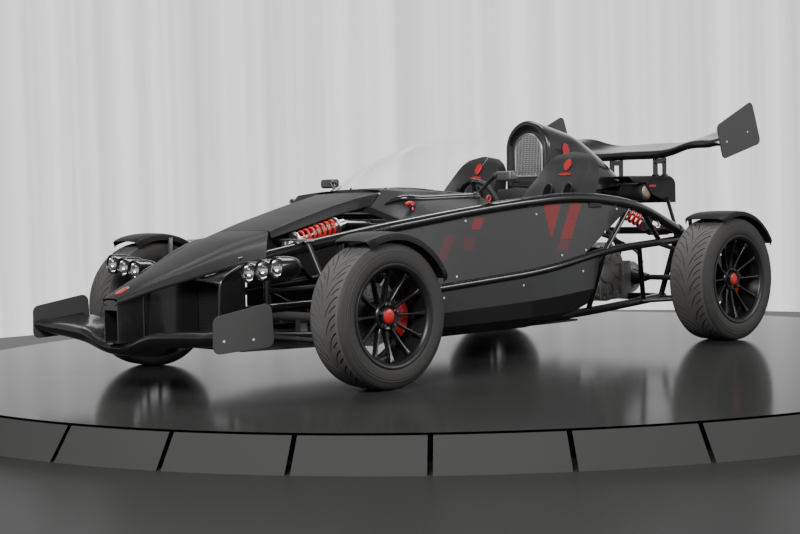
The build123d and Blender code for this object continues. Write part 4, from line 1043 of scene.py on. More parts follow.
def cowl_row(x, shares):
    top, cy, cz = row_at(COWL, x)[1:]
    ey, ez = hatch_edge(x)
    points = [crown_point(s / cy, top, cy, cz) for s in shares(cy)]
    for t in (0.06, 0.25, 0.5, 0.75, 1):
        points.append((cy + (ey - cy) * t, cz + (ez - cz) * t + 5 * math.sin(math.pi * t)))
    return [(x, y, z) for y, z in points]


def hatch():
    form = Form()
    rows = []
    for x, top, cy, cz, deep in even_values(HATCH, 4):
        foot = x if x > -440 else -440 + (x + 440) * 0.45
        half = [(foot + (x - foot) * t, cy + side, cz - deep * (1 - t)) for side, t in
                ((12, 0), (14, 0.08), (13, 0.2), (10, 0.5), (6, 0.78), (3, 0.93))]
        half += [(x, *crown_point(s, top, cy, cz)) for s in (0.99, 0.93, 0.75, 0.5, 0.25, 0)]
        rows.append(both_sides(half))
    for back, down, narrow in ((4, 1.5, 0.997), (7, 6, 0.992), (7, 14, 0.99)):
        rows.append([(p[0] - back, p[1] * narrow, p[2] - down) for p in rows[24]])
    form.skin(rows)
    add_piece(form, "front_hatch", "chassis", ["body_grey"], ["scuttle"], 1.6, 26, 4)


def cowl():
    """Scuttle top beside and behind the hatch, round the front of the cockpit opening."""
    sides = Form()
    outward = (0, 0.25, 0.5, 0.75, 0.96)
    behind_hatch = cowl_row(-566, lambda cy: [218 + (cy - 218) * t for t in outward])
    inner, outer = Vector((-484, 230, 714)), Vector((-452, *hatch_edge(-452)))
    last = len(behind_hatch) - 1
    front_edge = [inner + (outer - inner) * (k / last) for k in range(last + 1)]
    sides.skin([[a + (Vector(b) - a) * t for a, b in zip(front_edge, behind_hatch)]
                for t in (0, 0.1, 0.28, 0.5, 0.74, 1)])
    flange = [Vector((-478, 186, 718))] + front_edge
    sides.skin([flange, [p + Vector((3, 0, -3)) for p in flange], [p + Vector((5, 0, -30)) for p in flange]])
    inside = [0, 80, 160, 240, 312]
    before = [cowl_row(x, lambda cy: inside[:-1] + [312 + (cy - 312) * t for t in outward])
              for x in (-566, -600, -650, -700, -750, -790)]
    sides.skin(before)
    behind = [cowl_row(x, lambda cy: [opening_y(x) + (cy - opening_y(x)) * t for t in outward])
              for x in (-790, -793, -800, -812, -830, -852, -880, -910, -935)]
    sides.skin(behind)
    add_piece(sides.mirrored(), "cowl", "chassis", ["body_grey"], (), 1.2, 40, 4)


def cockpit_rolls():
    rolls = Form()
    smooth_run = curve_through([p[:3] for p in COAMING], 3)
    radii = [v.x for v in curve_through([(p[3], 0, 0) for p in COAMING], 3)]
    rolls.pipe(smooth_run, radii, 24)
    rim = []
    edge = [(x, opening_y(x)) for x in (-932, -905, -880, -852, -830, -812, -800, -793, -790)]
    for x, y in edge + [(-790, y) for y in (240, 160, 80, 0)]:
        top, cy, cz = row_at(COWL, x)[1:]
        rim.append((x, y, crown_point(y / cy, top, cy, cz)[1] - 2))
    rolls.pipe(rim, 7, 12)
    add_piece(rolls.mirrored(), "cockpit_rolls", "chassis", ["body_black"], (), 0, 50)


def cut_off_handle():
    handle = Form()
    handle.turned([(0, 0), (0, 12), (4, 12), (5, 6), (20, 6), (20, 0)], (-529, 437, 702), (0.1, 0.6, 0.78),
                  20, 1)
    grip = [(-503, 432, 717), (-514, 434, 723), (-528, 435, 724), (-544, 435, 722), (-554, 432, 715)]
    radii = [6, 8, 9, 9, 9, 9.5, 10, 10, 10, 10, 9.5, 9, 9, 9, 9, 8, 6]
    handle.pipe(curve_through(grip, 4), radii, 12)
    handle.pipe([(-529, 434, 723), (-531, 440, 707), (-532, 446, 693)], [8, 7.5, 7], 10)
    add_piece(handle, "cut_off_handle", "chassis", ["trim_red", "dark_steel"], (), 0, 40)


def strap_loop():
    loop = Form()
    ring = [2 * math.pi * k / 20 for k in range(20)]
    rows = []
    for a in ring:
        out = Vector((math.cos(a), 0, math.sin(a)))
        middle = Vector((-890, 559, 735)) + out * 12
        rows.append([middle + out * 4 * math.cos(b) + Vector((0, 4 * math.sin(b), 0)) for b in ring[::2]])
    loop.skin(rows, closed=True, ring=True)
    add_piece(loop, "strap_loop", "chassis", ["trim_red"], (), 0, 50)


hatch()
cowl()
cockpit_rolls()
cut_off_handle()
strap_loop()


def arc_through(a, b, c, count):
    """Points on the circle through three points."""
    a, b, c = Vector(a), Vector(b), Vector(c)
    ab, ac = b - a, c - a
    flat = ab.cross(ac)
    centre = a + (flat.cross(ab) * ac.length_squared
                  + ac.cross(flat) * ab.length_squared) / (2 * flat.length_squared)
    first, normal = a - centre, flat.normalized()
    side = normal.cross(first)
    end = c - centre
    turn = math.atan2(end.dot(side) / side.length, end.dot(first) / first.length) % (2 * math.pi)
    return [centre + first * math.cos(turn * k / (count - 1)) + side * math.sin(turn * k / (count - 1))
            for k in range(count)]


# How far the middle of the screen bows out.
BOW = 40


def windscreen():
    base = arc_through((-880, 400, 742), (-560, 0, 784), (-880, -400, 742), 41)
    top = arc_through((-1262, 290, 1008), (-1130, 0, 1020), (-1262, -290, 1008), 41)
    form = Form()
    rows = []
    for t in (0, 0.03, 0.1, 0.2, 0.3, 0.4, 0.5, 0.6, 0.7, 0.8, 0.88, 0.94, 0.98, 1):
        line = []
        for k in range(41):
            u = abs(k / 20 - 1)
            reach = 1 - 0.1 * max(0, (u - 0.86) / 0.14) ** 2.2
            s = t * reach
            p = base[k] + (top[k] - base[k]) * s
            line.append(p + Vector((0.86, 0, 0.5)) * BOW * math.sin(math.pi * s) * (1 - u * u))
        rows.append(line)
    form.skin(rows)
    add_piece(form, "screen_sheet", "chassis", ["clear"], ["windscreen"], 0.8, 50, 4)
    trim = Form()
    trim.pipe([p + Vector((2, 0, -1)) for p in base], 4.5, 8)
    add_piece(trim, "screen_seal", "chassis", ["matte_black"], (), 0, 60)
    clips = [(base[k] + (top[k] - base[k]) * 0.035 + Vector((6, 0, 4)), (0.75, 0, 0.66))
             for k in (6, 13, 20, 27, 34)]
    add_grown([studs(clips, HEX_HEAD, 0.8, "dark_steel", "screen_bolts")], "screen_bolts", "chassis")


windscreen()


# Seats in one moulding: half widths by height, then the side view from the cushion's front edge over the
# headrest and back beneath (x, height, how far the sides rise).
SEAT_Y = 280
SEAT_WIDTH = [(140, 150), (320, 180), (560, 188), (700, 186), (790, 174), (850, 162), (895, 143),
              (925, 118), (943, 88), (953, 54), (958, 12)]
SEAT_LINE = [(-1002, 268, 0), (-992, 286, 10), (-1002, 300, 40), (-1200, 257, 66), (-1330, 228, 74),
             (-1388, 222, 70), (-1424, 262, 72), (-1490, 398, 76), (-1560, 540, 72), (-1628, 674, 56),
             (-1680, 770, 34), (-1715, 833, 14), (-1742, 884, 5), (-1761, 925, 2), (-1770, 946, 0),
             (-1778, 955, 0), (-1788, 958, 0), (-1799, 954, 0), (-1807, 938, 0), (-1797, 890, 0),
             (-1776, 826, 0), (-1730, 726, 0), (-1690, 640, 0), (-1580, 440, 0), (-1471, 240, 0),
             (-1400, 174, 0), (-1200, 216, 0)]

# Place of the headrest's top in that line, and how far each headrest stands out from its seat.
SEAT_TOP = 16
LEAN = 24


def seat_half(z):
    for (z0, w0), (z1, w1) in zip(SEAT_WIDTH, SEAT_WIDTH[1:]):
        if z <= z1:
            return w0 + (w1 - w0) * max(0, z - z0) / (z1 - z0)
    return SEAT_WIDTH[-1][1]


def even_run(points, count):
    """Evenly spaced points on a smooth run through the listed ones."""
    run = curve_through(points, 6)
    lengths = [0]
    for a, b in zip(run, run[1:]):
        lengths.append(lengths[-1] + (b - a).length)
    even = []
    k = 0
    for i in range(count + 1):
        reach = lengths[-1] * i / count
        while k < len(run) - 2 and lengths[k + 1] < reach:
            k += 1
        even.append(run[k] + (run[k + 1] - run[k]) * ((reach - lengths[k]) / (lengths[k + 1] - lengths[k])))
    return even


def seat_shells():
    form = Form()
    steps = 48
    front = even_run(SEAT_LINE[:SEAT_TOP + 1], steps)
    back = even_run(SEAT_LINE[:1] + list(reversed(SEAT_LINE[SEAT_TOP:])), steps)
    line = front + list(reversed(back[1:-1]))
    shares = [-1, -0.985, -0.94, -0.86, -0.74, -0.6, -0.4, -0.2, 0, 0.2, 0.4, 0.6, 0.74, 0.86, 0.94, 0.985, 1]
    rows = []
    for i, p in enumerate(line):
        ahead = line[(i + 1) % len(line)] - line[i - 1]
        normal = Vector((-ahead.y, 0, ahead.x)).normalized()
        normal = -normal if normal.dot(Vector((1, 0, 1))) < 0 and p.z > 1 else normal
        half = seat_half(p.y)
        middle = SEAT_Y + LEAN * min(1, max(0, (p.y - 560) / 260))
        row_points = []
        for v in shares:
            lift = p.z * (max(0, abs(v) - 0.42) / 0.58) ** 1.7 * (1 if abs(v) < 0.95 else 0.9)
            at = Vector((p.x, middle + v * half, p.y)) + normal * lift
            row_points.append(at)
        rows.append(row_points)
    form.skin(rows, ring=True)
    for k in (0, -1):
        rise = [rows[i][k] for i in range(steps + 1)]
        fall = [rows[-i % len(rows)][k] for i in range(steps + 1)]
        form.skin([rise, fall])
    form.mirrored()
    saddle = [(-1440, 270), (-1560, 520), (-1660, 735), (-1676, 776), (-1688, 789), (-1706, 789),
              (-1714, 776), (-1690, 640), (-1480, 250)]
    form.skin([[(x, y, z - 0.0022 * y * y * (z > 700) + 20 * (abs(y) / 110) ** 4 * (z > 700))
                for x, z in saddle] for y in (-112, -80, -40, 0, 40, 80, 112)], closed=True, ends=True)
    add_piece(form, "seat_shells", "chassis", ["seat"], ["seats"], 3, 40)


def headrest_fittings():
    """Harness slots, each a near-black plate of painted shade where the opening is, and plain red patches on
    both headrests.
    """
    slots = Form()
    marks = Form()
    slope = Vector((-0.43, 0, 0.9)).normalized()
    out = Vector((0.9, 0, 0.43)).normalized()
    for s in (1, -1):
        seat_y = s * (SEAT_Y + LEAN)
        for dy in (-64, 64):
            foot = Vector((-1658, seat_y + dy, 728))
            turns = [math.pi * k / 10 for k in range(1, 10)]
            bend = [(-27 * math.cos(a), 42 + 30 * math.sin(a)) for a in turns]
            edge = [(-27, 0), (-27, 42)] + bend + [(27, 42), (27, 0)]
            arch = [foot + Vector((0, y, 0)) + slope * up for y, up in edge]
            lift = out * 16
            # The slot opening is a near-black plate: painted shade where the hole would be.
            slots.plate([p + lift for p in arch], out * 2, 0)
            slots.pipe([p + lift + out for p in arch + arch[:1]], 3.2, 8, 1)
        top = Vector((-1744, seat_y, 888))
        for up, w, h in ((4, 25, 33), (-48, 44, 8)):
            at = top + slope * up + out * 4
            edge = [(-1, 0), (-0.6, 0.7), (0, 1), (0.6, 0.7), (1, 0), (0.6, -0.7), (0, -1), (-0.6, -0.7)]
            marks.plate([at + Vector((0, w * dy, 0)) + slope * (h * dz) for dy, dz in edge], out * 1.2)
    add_piece(slots, "harness_slots", "chassis", ["painted_slot_shade", "satin_black"], (), 0, 50)
    add_piece(marks, "headrest_patches", "chassis", ["trim_red"], (), 0, 40)


seat_shells()
headrest_fittings()


# Intake scoop behind the seats: x, half width, foot and top of its arch, and the same of the mouth.
SCOOP = [(REAR + 560, 146, 775, 1128), (REAR + 400, 142, 770, 1095), (REAR + 250, 134, 766, 1056),
         (REAR + 70, 108, 774, 966), (REAR - 100, 72, 786, 868)]
MOUTH = (88, 846, 1058)


def arch(x, half, low, high, sides=5, turns=18):
    spring = high - half
    points = [(x, half, low + (spring - low) * k / sides) for k in range(sides)]
    for k in range(turns + 1):
        a = math.pi * k / turns
        points.append((x, half * math.cos(a), spring + half * math.sin(a)))
    return points + [(x, -half, low + (spring - low) * k / sides) for k in reversed(range(sides))]


def rim_arch(x, share):
    outer = SCOOP[0][1:]
    return arch(x, *[a + (b - a) * share for a, b in zip(outer, MOUTH)])


SCOOP_X = SCOOP[0][0]


def scoop_cowl():
    front = SCOOP_X
    form = Form()
    form.skin([arch(*v) for v in even_values([(front - 14, 146, 775, 1128)] + SCOOP[1:], 6)])
    rim = [(-14, 0), (-6, 0.0), (-1, 0.04), (2, 0.12), (3, 0.22), (2, 0.33), (-1, 0.42), (-6, 0.48),
           (-9, 0.56), (-12, 0.72), (-14, 0.88), (-15, 0.97)]
    form.skin([rim_arch(front + x, s) for x, s in rim], closed=True, paint=1)
    add_piece(form, "scoop_cowl", "chassis", ["body_black", "body_black"], ["intake_scoop"],
              1.2, 40, 4)
    bezel = Form()
    bezel.pipe(rim_arch(front - 12, 0.96) + rim_arch(front - 12, 0.96)[:1], 4.5, 10)
    add_piece(bezel, "mouth_bezel", "chassis", ["bright_steel"], (), 0, 50)
    # A closed matte black plug fills the mouth just behind the weave: painted shade for the duct's dark
    # inside.
    shade_plug = Form()
    shade_plug.skin([rim_arch(front - 17, 0.98), rim_arch(front - 60, 1.02), rim_arch(front - 150, 1.4)],
               closed=True, ends=True)
    add_piece(shade_plug, "intake_trunk", "chassis", ["matte_black"], (), 0, 40)


def mouth_weave():
    """Crimped wires across the mouth, each over one and under the next."""
    plane = SCOOP_X - 13
    half, low, high = MOUTH
    spring = high - half
    pitch = 10.2
    runs = []
    columns = range(-8, 9)
    levels = [low + 3 + pitch * k for k in range(24)]
    for i in columns:
        y = i * pitch
        if abs(y) > half - 3:
            continue
        reach = spring + math.sqrt(half * half - y * y)
        heights = [z for z in levels if z < reach - 2]
        runs.append([(plane + 1.3 * (-1) ** (i + k), y, z) for k, z in enumerate(heights)]
                    + [(plane, y, reach)])
    for k, z in enumerate(levels):
        wide = half if z < spring else math.sqrt(max(0, half * half - (z - spring) ** 2))
        inside = [i for i in columns if abs(i * pitch) < wide]
        if len(inside) > 1:
            crimped = [(plane - 1.3 * (-1) ** (i + k), i * pitch, z) for i in inside]
            runs.append([(plane, -wide, z)] + crimped + [(plane, wide, z)])
    wires = grow("weave", WIRES, {"Radius": 0.0013, "Sides": 6}, "bright_steel", run_mesh("weave", runs))
    add_grown([wires], "mouth_weave", "chassis", ["intake_mesh"], 60)


def scoop_patches():
    patch = Form()
    for s in (1, -1):
        edge = [(-30, 0), (-15, 30), (8, 36), (28, 14), (18, -22), (-18, -30)]
        patch.plate([(REAR + 425 + dx, s * 143.5, 972 + dz) for dx, dz in edge],
                    (0, s * 1.5, 0))
    add_piece(patch, "scoop_patches", "chassis", ["trim_red"], (), 0, 40)


scoop_cowl()
mouth_weave()
scoop_patches()


# Lamps, mirrors and cycle wings.
LAMP_X = 338
LAMPS = [(402, 468), (490, 479), (578, 490)]


def headlamps():
    pods, glass, bowls = Form(), Form(), Form()
    for y, z in LAMPS:
        at = (LAMP_X, y, z)
        pods.turned([(-122, 0), (-122, 10), (-118, 16), (-104, 30), (-84, 38), (-60, 42), (-10, 43),
                     (-3, 43.5), (2, 42.5), (3, 40.5), (0, 38.6), (-10, 38)], at, (1, 0, 0), 44)
        bowls.turned([(-8, 37.9), (-16, 36), (-26, 29), (-34, 19), (-38, 9), (-38, 6), (-24, 6), (-20, 4),
                      (-19, 0)], at, (1, 0, 0), 36)
        bowls.turned([(-6, 38), (-4, 37.4), (-3.4, 34.6), (-5, 34)], at, (1, 0, 0), 44)
        glass.turned([(-7, 37), (-3, 35.8), (0, 31), (2.4, 22), (3.6, 12), (4, 0)], at, (1, 0, 0), 36)
    pods.pipe(curve_through([(276, 302, 454), (276, 402, 468), (276, 490, 479), (276, 578, 490)], 3), 11, 14)
    pods.turned([(0, 0), (0, 22), (5, 22), (6, 20), (6, 0)], (276, 304, 454), (0, 1, 0.13), 24)
    add_piece(pods.mirrored(), "lamp_pods", "chassis", ["body_black"], ["headlamp_pods"], 0, 42)
    add_piece(bowls.mirrored(), "lamp_bowls", "chassis", ["reflector"], (), 0, 42)
    add_piece(glass.mirrored(), "lamp_glass", "chassis", ["lens"], ["headlamp_lenses"], 0, 60, 1.6)


headlamps()


def soft_box(x, y, z, half_y, half_z, soft, scale):
    """Upright rounded rectangle across the car."""
    points = []
    for sy, sz, start in ((1, 1, 0), (-1, 1, 90), (-1, -1, 180), (1, -1, 270)):
        for k in range(6):
            a = math.radians(start + 18 * k)
            points.append((x, y + scale * (sy * (half_y - soft) + soft * math.cos(a)),
                           z + scale * (sz * (half_z - soft) + soft * math.sin(a))))
    return points


def mirrors():
    form = Form()
    shell = ((-939, 0.6), (-940, 0.74), (-943, 0.86), (-949, 0.95), (-958, 1.0), (-980, 1.0), (-982, 0.985),
             (-982, 0.93), (-979, 0.92))
    form.skin([soft_box(x, 598, 832, 52, 23, 13, s) for x, s in shell], closed=True)
    form.add(soft_box(-939, 598, 832, 52, 23, 13, 0.6), [tuple(range(24))])
    form.add(soft_box(-979, 598, 832, 52, 23, 13, 0.92), [tuple(range(24))], 1)
    for dx in (-9, 9):
        form.pipe(curve_through([(-950 + dx, 566, 838), (-940 + dx, 552, 834), (-922 + dx * 0.6, 505, 788),
                                 (-905 + dx * 0.6, 470, 754)], 5), 5.5, 10, 2)
    form.turned([(-14, 0), (-14, 10), (-11, 12), (11, 12), (14, 10), (14, 0)], (-946, 556, 836), (1, 0, 0),
                20, 2)
    form.turned([(-15, 15), (-15, 21), (15, 21), (15, 15)], (-906, 461, 746), (-0.986, 0.163, 0.023), 24, 2,
                True)
    form.turned([(0, 0), (0, 7), (6, 7), (6, 0)], (-906, 478, 758), (0, 0.7, 0.7), 6, 3)
    add_piece(form.mirrored(), "door_mirrors", "chassis",
              ["mirror_grey", "mirror", "dark_steel", "bright_steel"], ["mirrors"], 1, 40)


mirrors()


def cycle_wing(name, x, y, size, rise, front, rear, body, stands_for):
    radius, width = size[:2]
    half = width / 2 + 11
    top = radius + rise
    section = [(half, rise - 10), (half, 15), (half - 1.5, 10.5), (half - 5, 7), (half - 11, 4.8),
               (half - 20, 3.6), (0.7 * half, 2.2), (0.45 * half, 0.9), (0.2 * half, 0.2), (0, 0)]
    section = section + [(-a, b) for a, b in reversed(section[:-1])]
    form = Form()
    for side in ((y, -y) if stands_for == ["rear_fenders"] else (y,)):
        rows = []
        count = 30
        for k in range(count + 1):
            share = k / count
            turn = math.radians(-rear + (front + rear) * share)
            end = min(share, 1 - share) * count
            narrow = max(0, 1.6 - end) ** 2 * 5
            drop = max(0, 1 - end) * 1.5
            rows.append([(x + (top - d - drop) * math.sin(turn), side + a * (half - narrow) / half,
                          radius + (top - d - drop) * math.cos(turn)) for a, d in section])
        form.skin(rows)
        for edge in (0, -1):
            form.pipe([r[edge] for r in rows], 2.8, 8)
    add_piece(form, name, body, ["wing_black"], stands_for, 1, 40, 4)


cycle_wing("cycle_wing_front_left", 0, FRONT_SIDE, FRONT_TYRE, 42, 25, 66, "knuckle_left",
           ["front_fender_left"])
cycle_wing("cycle_wing_front_right", 0, -FRONT_SIDE, FRONT_TYRE, 42, 25, 66, "knuckle_right",
           ["front_fender_right"])
cycle_wing("cycle_wings_rear", REAR, REAR_SIDE, REAR_TYRE, 36, 26, 60, "chassis", ["rear_fenders"])


def wing_bolts(x, y, size, angles):
    """Bolt heads where the stays meet a cycle wing's inner lip."""
    spots = []
    out = 1 if y > 0 else -1
    r = size[0] + 19
    for turn in angles:
        a = math.radians(turn)
        spots.append(((x + r * math.sin(a), y + out * (size[1] / 2 + 11), size[0] + r * math.cos(a)),
                      (0, out, 0)))
    return spots


for end, side in (("left", FRONT_SIDE), ("right", -FRONT_SIDE)):
    spots = wing_bolts(0, side, FRONT_TYRE, (4, -56))
    add_grown([studs(spots, DOME_HEAD, 0.8, "dark_steel", "wing_bolts")], "wing_bolts_front_" + end,
              "knuckle_" + end)


# Tail: hood, strip lamps, stays and wing mounts.
TAIL_LOW_LINE = [(REAR - 45, 806), (REAR - 150, 800), (REAR - 162, 780), (REAR - 205, 735),
                 (REAR - 330, 699), (REAR - 420, 690)]


def tail_row(x, shrink):
    top, side, soft = 838 - shrink, 213 - shrink, 52 - shrink
    low = row_at(TAIL_LOW_LINE, x)[1]
    half = [(side, top - soft)] * 3
    if low < top - soft:
        half = [(side, low + (top - soft - low) * t) for t in (0, 0.33, 0.66)]
    for k in range(9):
        a = math.radians(11.25 * k)
        y, z = side - soft + soft * math.cos(a), top - soft + soft * math.sin(a)
        if z < low:
            y, z = side - soft + math.sqrt(max(0, soft ** 2 - (low - top + soft) ** 2)), low
        half.append((y, z))
    if low >= top - soft:
        half[:3] = [half[3]] * 3
    half += [(143, top), (110, top), (84, top), (58, top), (25, top), (0, top)]
    return both_sides([(x, y, z) for y, z in half])


def tail_hood():
    form = Form()
    stations = [(-45, 2.5), (-46.5, 0.8), (-50, 0), (-90, 0), (-120, 0), (-148, 0), (-150, 0), (-154, 0),
                (-162, 0), (-175, 0), (-190, 0), (-205, 0), (-235, 0), (-260, 0), (-290, 0), (-330, 0),
                (-370, 0), (-400, 0), (-412, 1), (-417, 3), (-420, 7)]
    rows = [tail_row(REAR + x, shrink) for x, shrink in stations]
    form.skin(rows)
    kept = []
    for face in form.faces:
        x = sum(form.points[v].x for v in face) / len(face) - REAR
        y = abs(sum(form.points[v].y for v in face) / len(face))
        high = min(form.points[v].z for v in face) > 836
        window = high and -260 < x < -150 and 25 < y < 143
        throat = high and x > -100 and y < 75
        if not window and not throat:
            kept.append(face)
    form.faces = kept
    form.paints = [0] * len(kept)
    last = rows[-1]
    form.add(last, [tuple(range(len(last)))])
    add_piece(form, "tail_hood", "chassis", ["body_grey"], ["tail_fairing"], 1.5, 40, 5)


def tail_stays():
    fittings = Form()
    foot = rail_at(REAR - 50)
    for s in (1, -1):
        fittings.pipe([(REAR - 345, s * 204, 716), (foot.x, s * (foot.y - 8), foot.z)], 11, 16)
        fittings.block((REAR - 372, min(s * 196, s * 207), 700), (REAR - 318, max(s * 196, s * 207), 736))
        fittings.turned([(-14, 26), (-14, 30), (14, 30), (14, 26)], (foot.x, s * foot.y, foot.z),
                        (-0.94, s * -0.16, -0.31), 28, 0, True)
    for s in (1, -1):
        for x in (-321, -400):
            fittings.block((REAR + x - 19, s * 149 - 13, 838), (REAR + x + 19, s * 149 + 13, 845))
    add_piece(fittings, "tail_stays", "chassis", ["frame_black"], (), 2, 40)


def silencer_bands():
    pipe = Form()
    pipe.turned([(0, 35.5), (-4, 38), (-8, 38), (-10, 36)], (REAR - 442, 60, 752), (1, 0, 0), 40)
    pipe.turned([(0, 0), (0, 43), (2, 43), (3, 36)], (REAR - 421, 60, 752), (-1, 0, 0), 40, 1)
    for y in (-176, -60, 60):
        pipe.turned([(-5, 48.2), (-5, 50), (-3, 51), (3, 51), (5, 50), (5, 48.2)], (REAR - 168, y, 752),
                    (0, 1, 0), 44, 1)
    for s in (1, -1):
        pipe.turned([(-46, 48.4), (-44, 49.4), (-8, 49.4), (-3, 47), (0.8, 42), (0.8, 38)],
                    (REAR - 168, s * 200, 752), (0, s, 0), 44, 1)
        pipe.turned([(0.6, 39), (4, 33), (6, 20), (6, 0)], (REAR - 168, s * 200, 752), (0, s, 0), 44)
    add_piece(pipe, "silencer_bands", "chassis", ["exhaust_gold", "matte_black"], (), 0, 40)


def strip_lamps():
    strip = Form()
    for s in (1, -1):
        edge = ((-172, 776), (-178, 788), (-232, 788), (-236, 776))
        strip.plate([(REAR + x, s * 213, z) for x, z in edge], (0, s * 2.5, 0))
    strip.plate([(REAR - 421, y, z) for y, z in ((-150, 800), (-20, 800), (-20, 818), (-150, 818))],
                (-4, 0, 0))
    add_piece(strip, "strip_lamps", "chassis", ["red_lens"], (), 0.8, 40)


def stand_bolts():
    spots = []
    for s in (1, -1):
        for x, z in ((-322, 905), (-322, 925), (-400, 912), (-400, 940)):
            spots.append(((REAR + x, s * 153, z), (0, s, 0)))
        for x in (-334, -356):
            spots.append(((REAR + x, s * 207, 718), (0, -s, 0)))
    add_grown([studs(spots, HEX_HEAD, 0.9, "dark_steel", "stand_bolts")], "stand_bolts", "chassis")


tail_hood()
tail_stays()
silencer_bands()
strip_lamps()
stand_bolts()


# Studs and small fittings.
MID_RAIL = [(260, 250, 304), (-350, 505, 335), (-1250, 575, 398), (REAR + 655, 565, 472),
            (REAR - 85, 470, 500)]


def panel_y(x, z):
    top, low = rail_at(x), row_at(MID_RAIL, x)
    if z < low.z:
        return low.y + 8
    return low.y + (top.y - low.y) * (z - low.z) / (top.z - low.z) + 5


def panel_studs():
    spots = []
    for s in (1, -1):
        for x, z in ((-366, 560), (-1193, 658), (-1361, 463), (-1793, 669), (-700, 398), (-1540, 480),
                     (-760, 640), (-1690, 560)):
            spots.append(((x, s * panel_y(x, z), z), (0, s, 0.1)))
        for x, z in ((-1096, 338), (-1511, 381), (-620, 310), (-420, 300)):
            spots.append(((x, s * panel_y(x, z), z), (0, s, 0)))
        for x, z in ((REAR - 260, 997), (REAR - 450, 1050), (650, 233), (513, 229)):
            spots.append(((x, s * 651, z), (0, s, 0)))
    add_grown([studs(spots, DOME_HEAD, 1.1, "stud_pale", "panel_studs")], "panel_studs", "chassis")


panel_studs()


def rail_catches():
    """Small black catch hung under each upper rail, beside the seat."""
    rail = rail_at(-1616)
    form = Form()
    rows = ((-1572, 0.7), (-1575, 1), (-1657, 1), (-1660, 0.7))
    form.skin([soft_box(x, rail.y, rail.z - 29, 13, 14, 5, s) for x, s in rows], closed=True, ends=True)
    add_piece(form.mirrored(), "rail_catches", "chassis", ["matte_black"])


rail_catches()


def gearbox_faces():
    face = Form()
    centre = (-2005, 315, 350)
    face.turned([(0, 0), (0, 150), (3, 150), (5, 146), (5, 122), (9, 116), (9, 62), (16, 56), (18, 40),
                 (18, 0)], centre, (0, 1, 0), 56)
    face.turned([(0, 0), (0, 60), (7, 60), (9, 56), (9, 34), (15, 30), (15, 0)], (REAR, 220, 304.5),
                (0, 1, 0), 40)
    for k in range(9):
        a = math.radians(40 * k)
        inner, outer = 66, 112
        side = Vector((math.cos(a), 0, math.sin(a)))
        flat = Vector((-math.sin(a), 0, math.cos(a))) * 3
        base = Vector(centre) + Vector((0, 8, 0))
        face.plate([base + side * inner - flat, base + side * outer - flat, base + side * outer + flat,
                    base + side * inner + flat], (0, 7, 0))
    for z in (480, 520, 560):
        face.block((-2150, 66, z), (-1860, 78, z + 9))
    add_piece(face, "gearbox_faces", "chassis", ["cast_alloy"], (), 1.5, 40)


def case_bolts():
    spots = []
    for k in range(16):
        a = math.radians(22.5 * k + 8)
        spots.append(((-2005 + 135 * math.cos(a), 320, 350 + 135 * math.sin(a)), (0, 1, 0)))
    for k in range(8):
        a = math.radians(45 * k)
        spots.append(((REAR + 48 * math.cos(a), 227, 304.5 + 48 * math.sin(a)), (0, 1, 0)))
    for x in (-2120, -2060, -1950, -1890):
        spots.append(((x, 70, 600), (0, 1, 0)))
        spots.append(((x, 70, 640), (0, 1, 0)))
    add_grown([studs(spots, HEX_HEAD, 1.1, "bright_steel", "case_bolts")], "case_bolts", "chassis")


def engine_hoses():
    hoses = Form()
    for run, r in (([(-1820, 60, 590), (-1790, 160, 560), (-1830, 250, 470), (-1900, 280, 410),
                     (-1960, 255, 380)], 19),
                   ([(-2120, 90, 600), (-2180, 180, 560), (-2200, 250, 470), (-2150, 270, 400)], 15),
                   ([(-1900, 90, 640), (-1880, 200, 620), (-1930, 300, 560), (-2040, 330, 520),
                     (-2160, 320, 480)], 11),
                   ([(-2260, 130, 420), (-2290, 210, 470), (-2300, 290, 440), (-2290, 330, 380)], 9)):
        hoses.pipe(curve_through(run, 7), r, 14)
        for at, toward in ((run[0], run[1]), (run[-1], run[-2])):
            along = (Vector(toward) - Vector(at)).normalized()
            hoses.turned([(8, r + 0.4), (8, r + 3), (20, r + 3), (20, r + 0.4)], at, along, 20, 1)
    add_piece(hoses, "hoses", "chassis", ["matte_black", "bright_steel"], (), 0, 40)


def radiator_fins():
    fins = grow("core_fins", FINS, {"Count": 56, "Start": row((354, -227, 321)), "Pitch": (0, 0.00825, 0),
                                    "Fin": (0.004, 0.0011, 0.222)}, "matte_black")
    tubes = grow("core_tubes", FINS, {"Count": 16, "Start": row((353, 0, 216)), "Pitch": (0, 0, 0.014),
                                      "Fin": (0.002, 0.46, 0.003)}, "matte_black")
    add_grown([fins, tubes], "radiator_fins", "chassis")


gearbox_faces()
case_bolts()
engine_hoses()
radiator_fins()


def dash_display():
    dash = Form()
    dash.plate([(-841, 200, 668), (-841, 360, 668), (-841, 366, 674), (-841, 366, 708), (-841, 360, 714),
                (-841, 200, 714), (-841, 194, 708), (-841, 194, 674)], (4, 0, 0))
    dash.plate([(-842, 206, 674), (-842, 354, 674), (-842, 354, 708), (-842, 206, 708)], (1, 0, 0), 1)
    for y in (-260, -210, -160, -110, -60):
        dash.turned([(0, 0), (0, 11), (5, 11), (6, 9), (6, 4), (22, 3), (24, 0)], (-826, y, 656),
                    (-1, 0, 0.3), 16, 2)
    add_piece(dash, "dash_display", "chassis", ["satin_black", "display_glass", "dark_steel"],
              (), 1, 40)


def wheel_boss():
    boss = Form()
    axis = Vector((430, 0, -100)).normalized()
    at = Vector((-1120, 280, 700))
    boss.turned([(-10, 0), (-10, 30), (-7, 34), (-2, 34)], at, axis, 32)
    boss.turned([(-12, 0), (-12, 17), (-10, 19)], at, axis, 28, 1)
    add_piece(boss, "wheel_boss", "steering_wheel", ["dark_steel", "trim_red"], (), 0, 40)


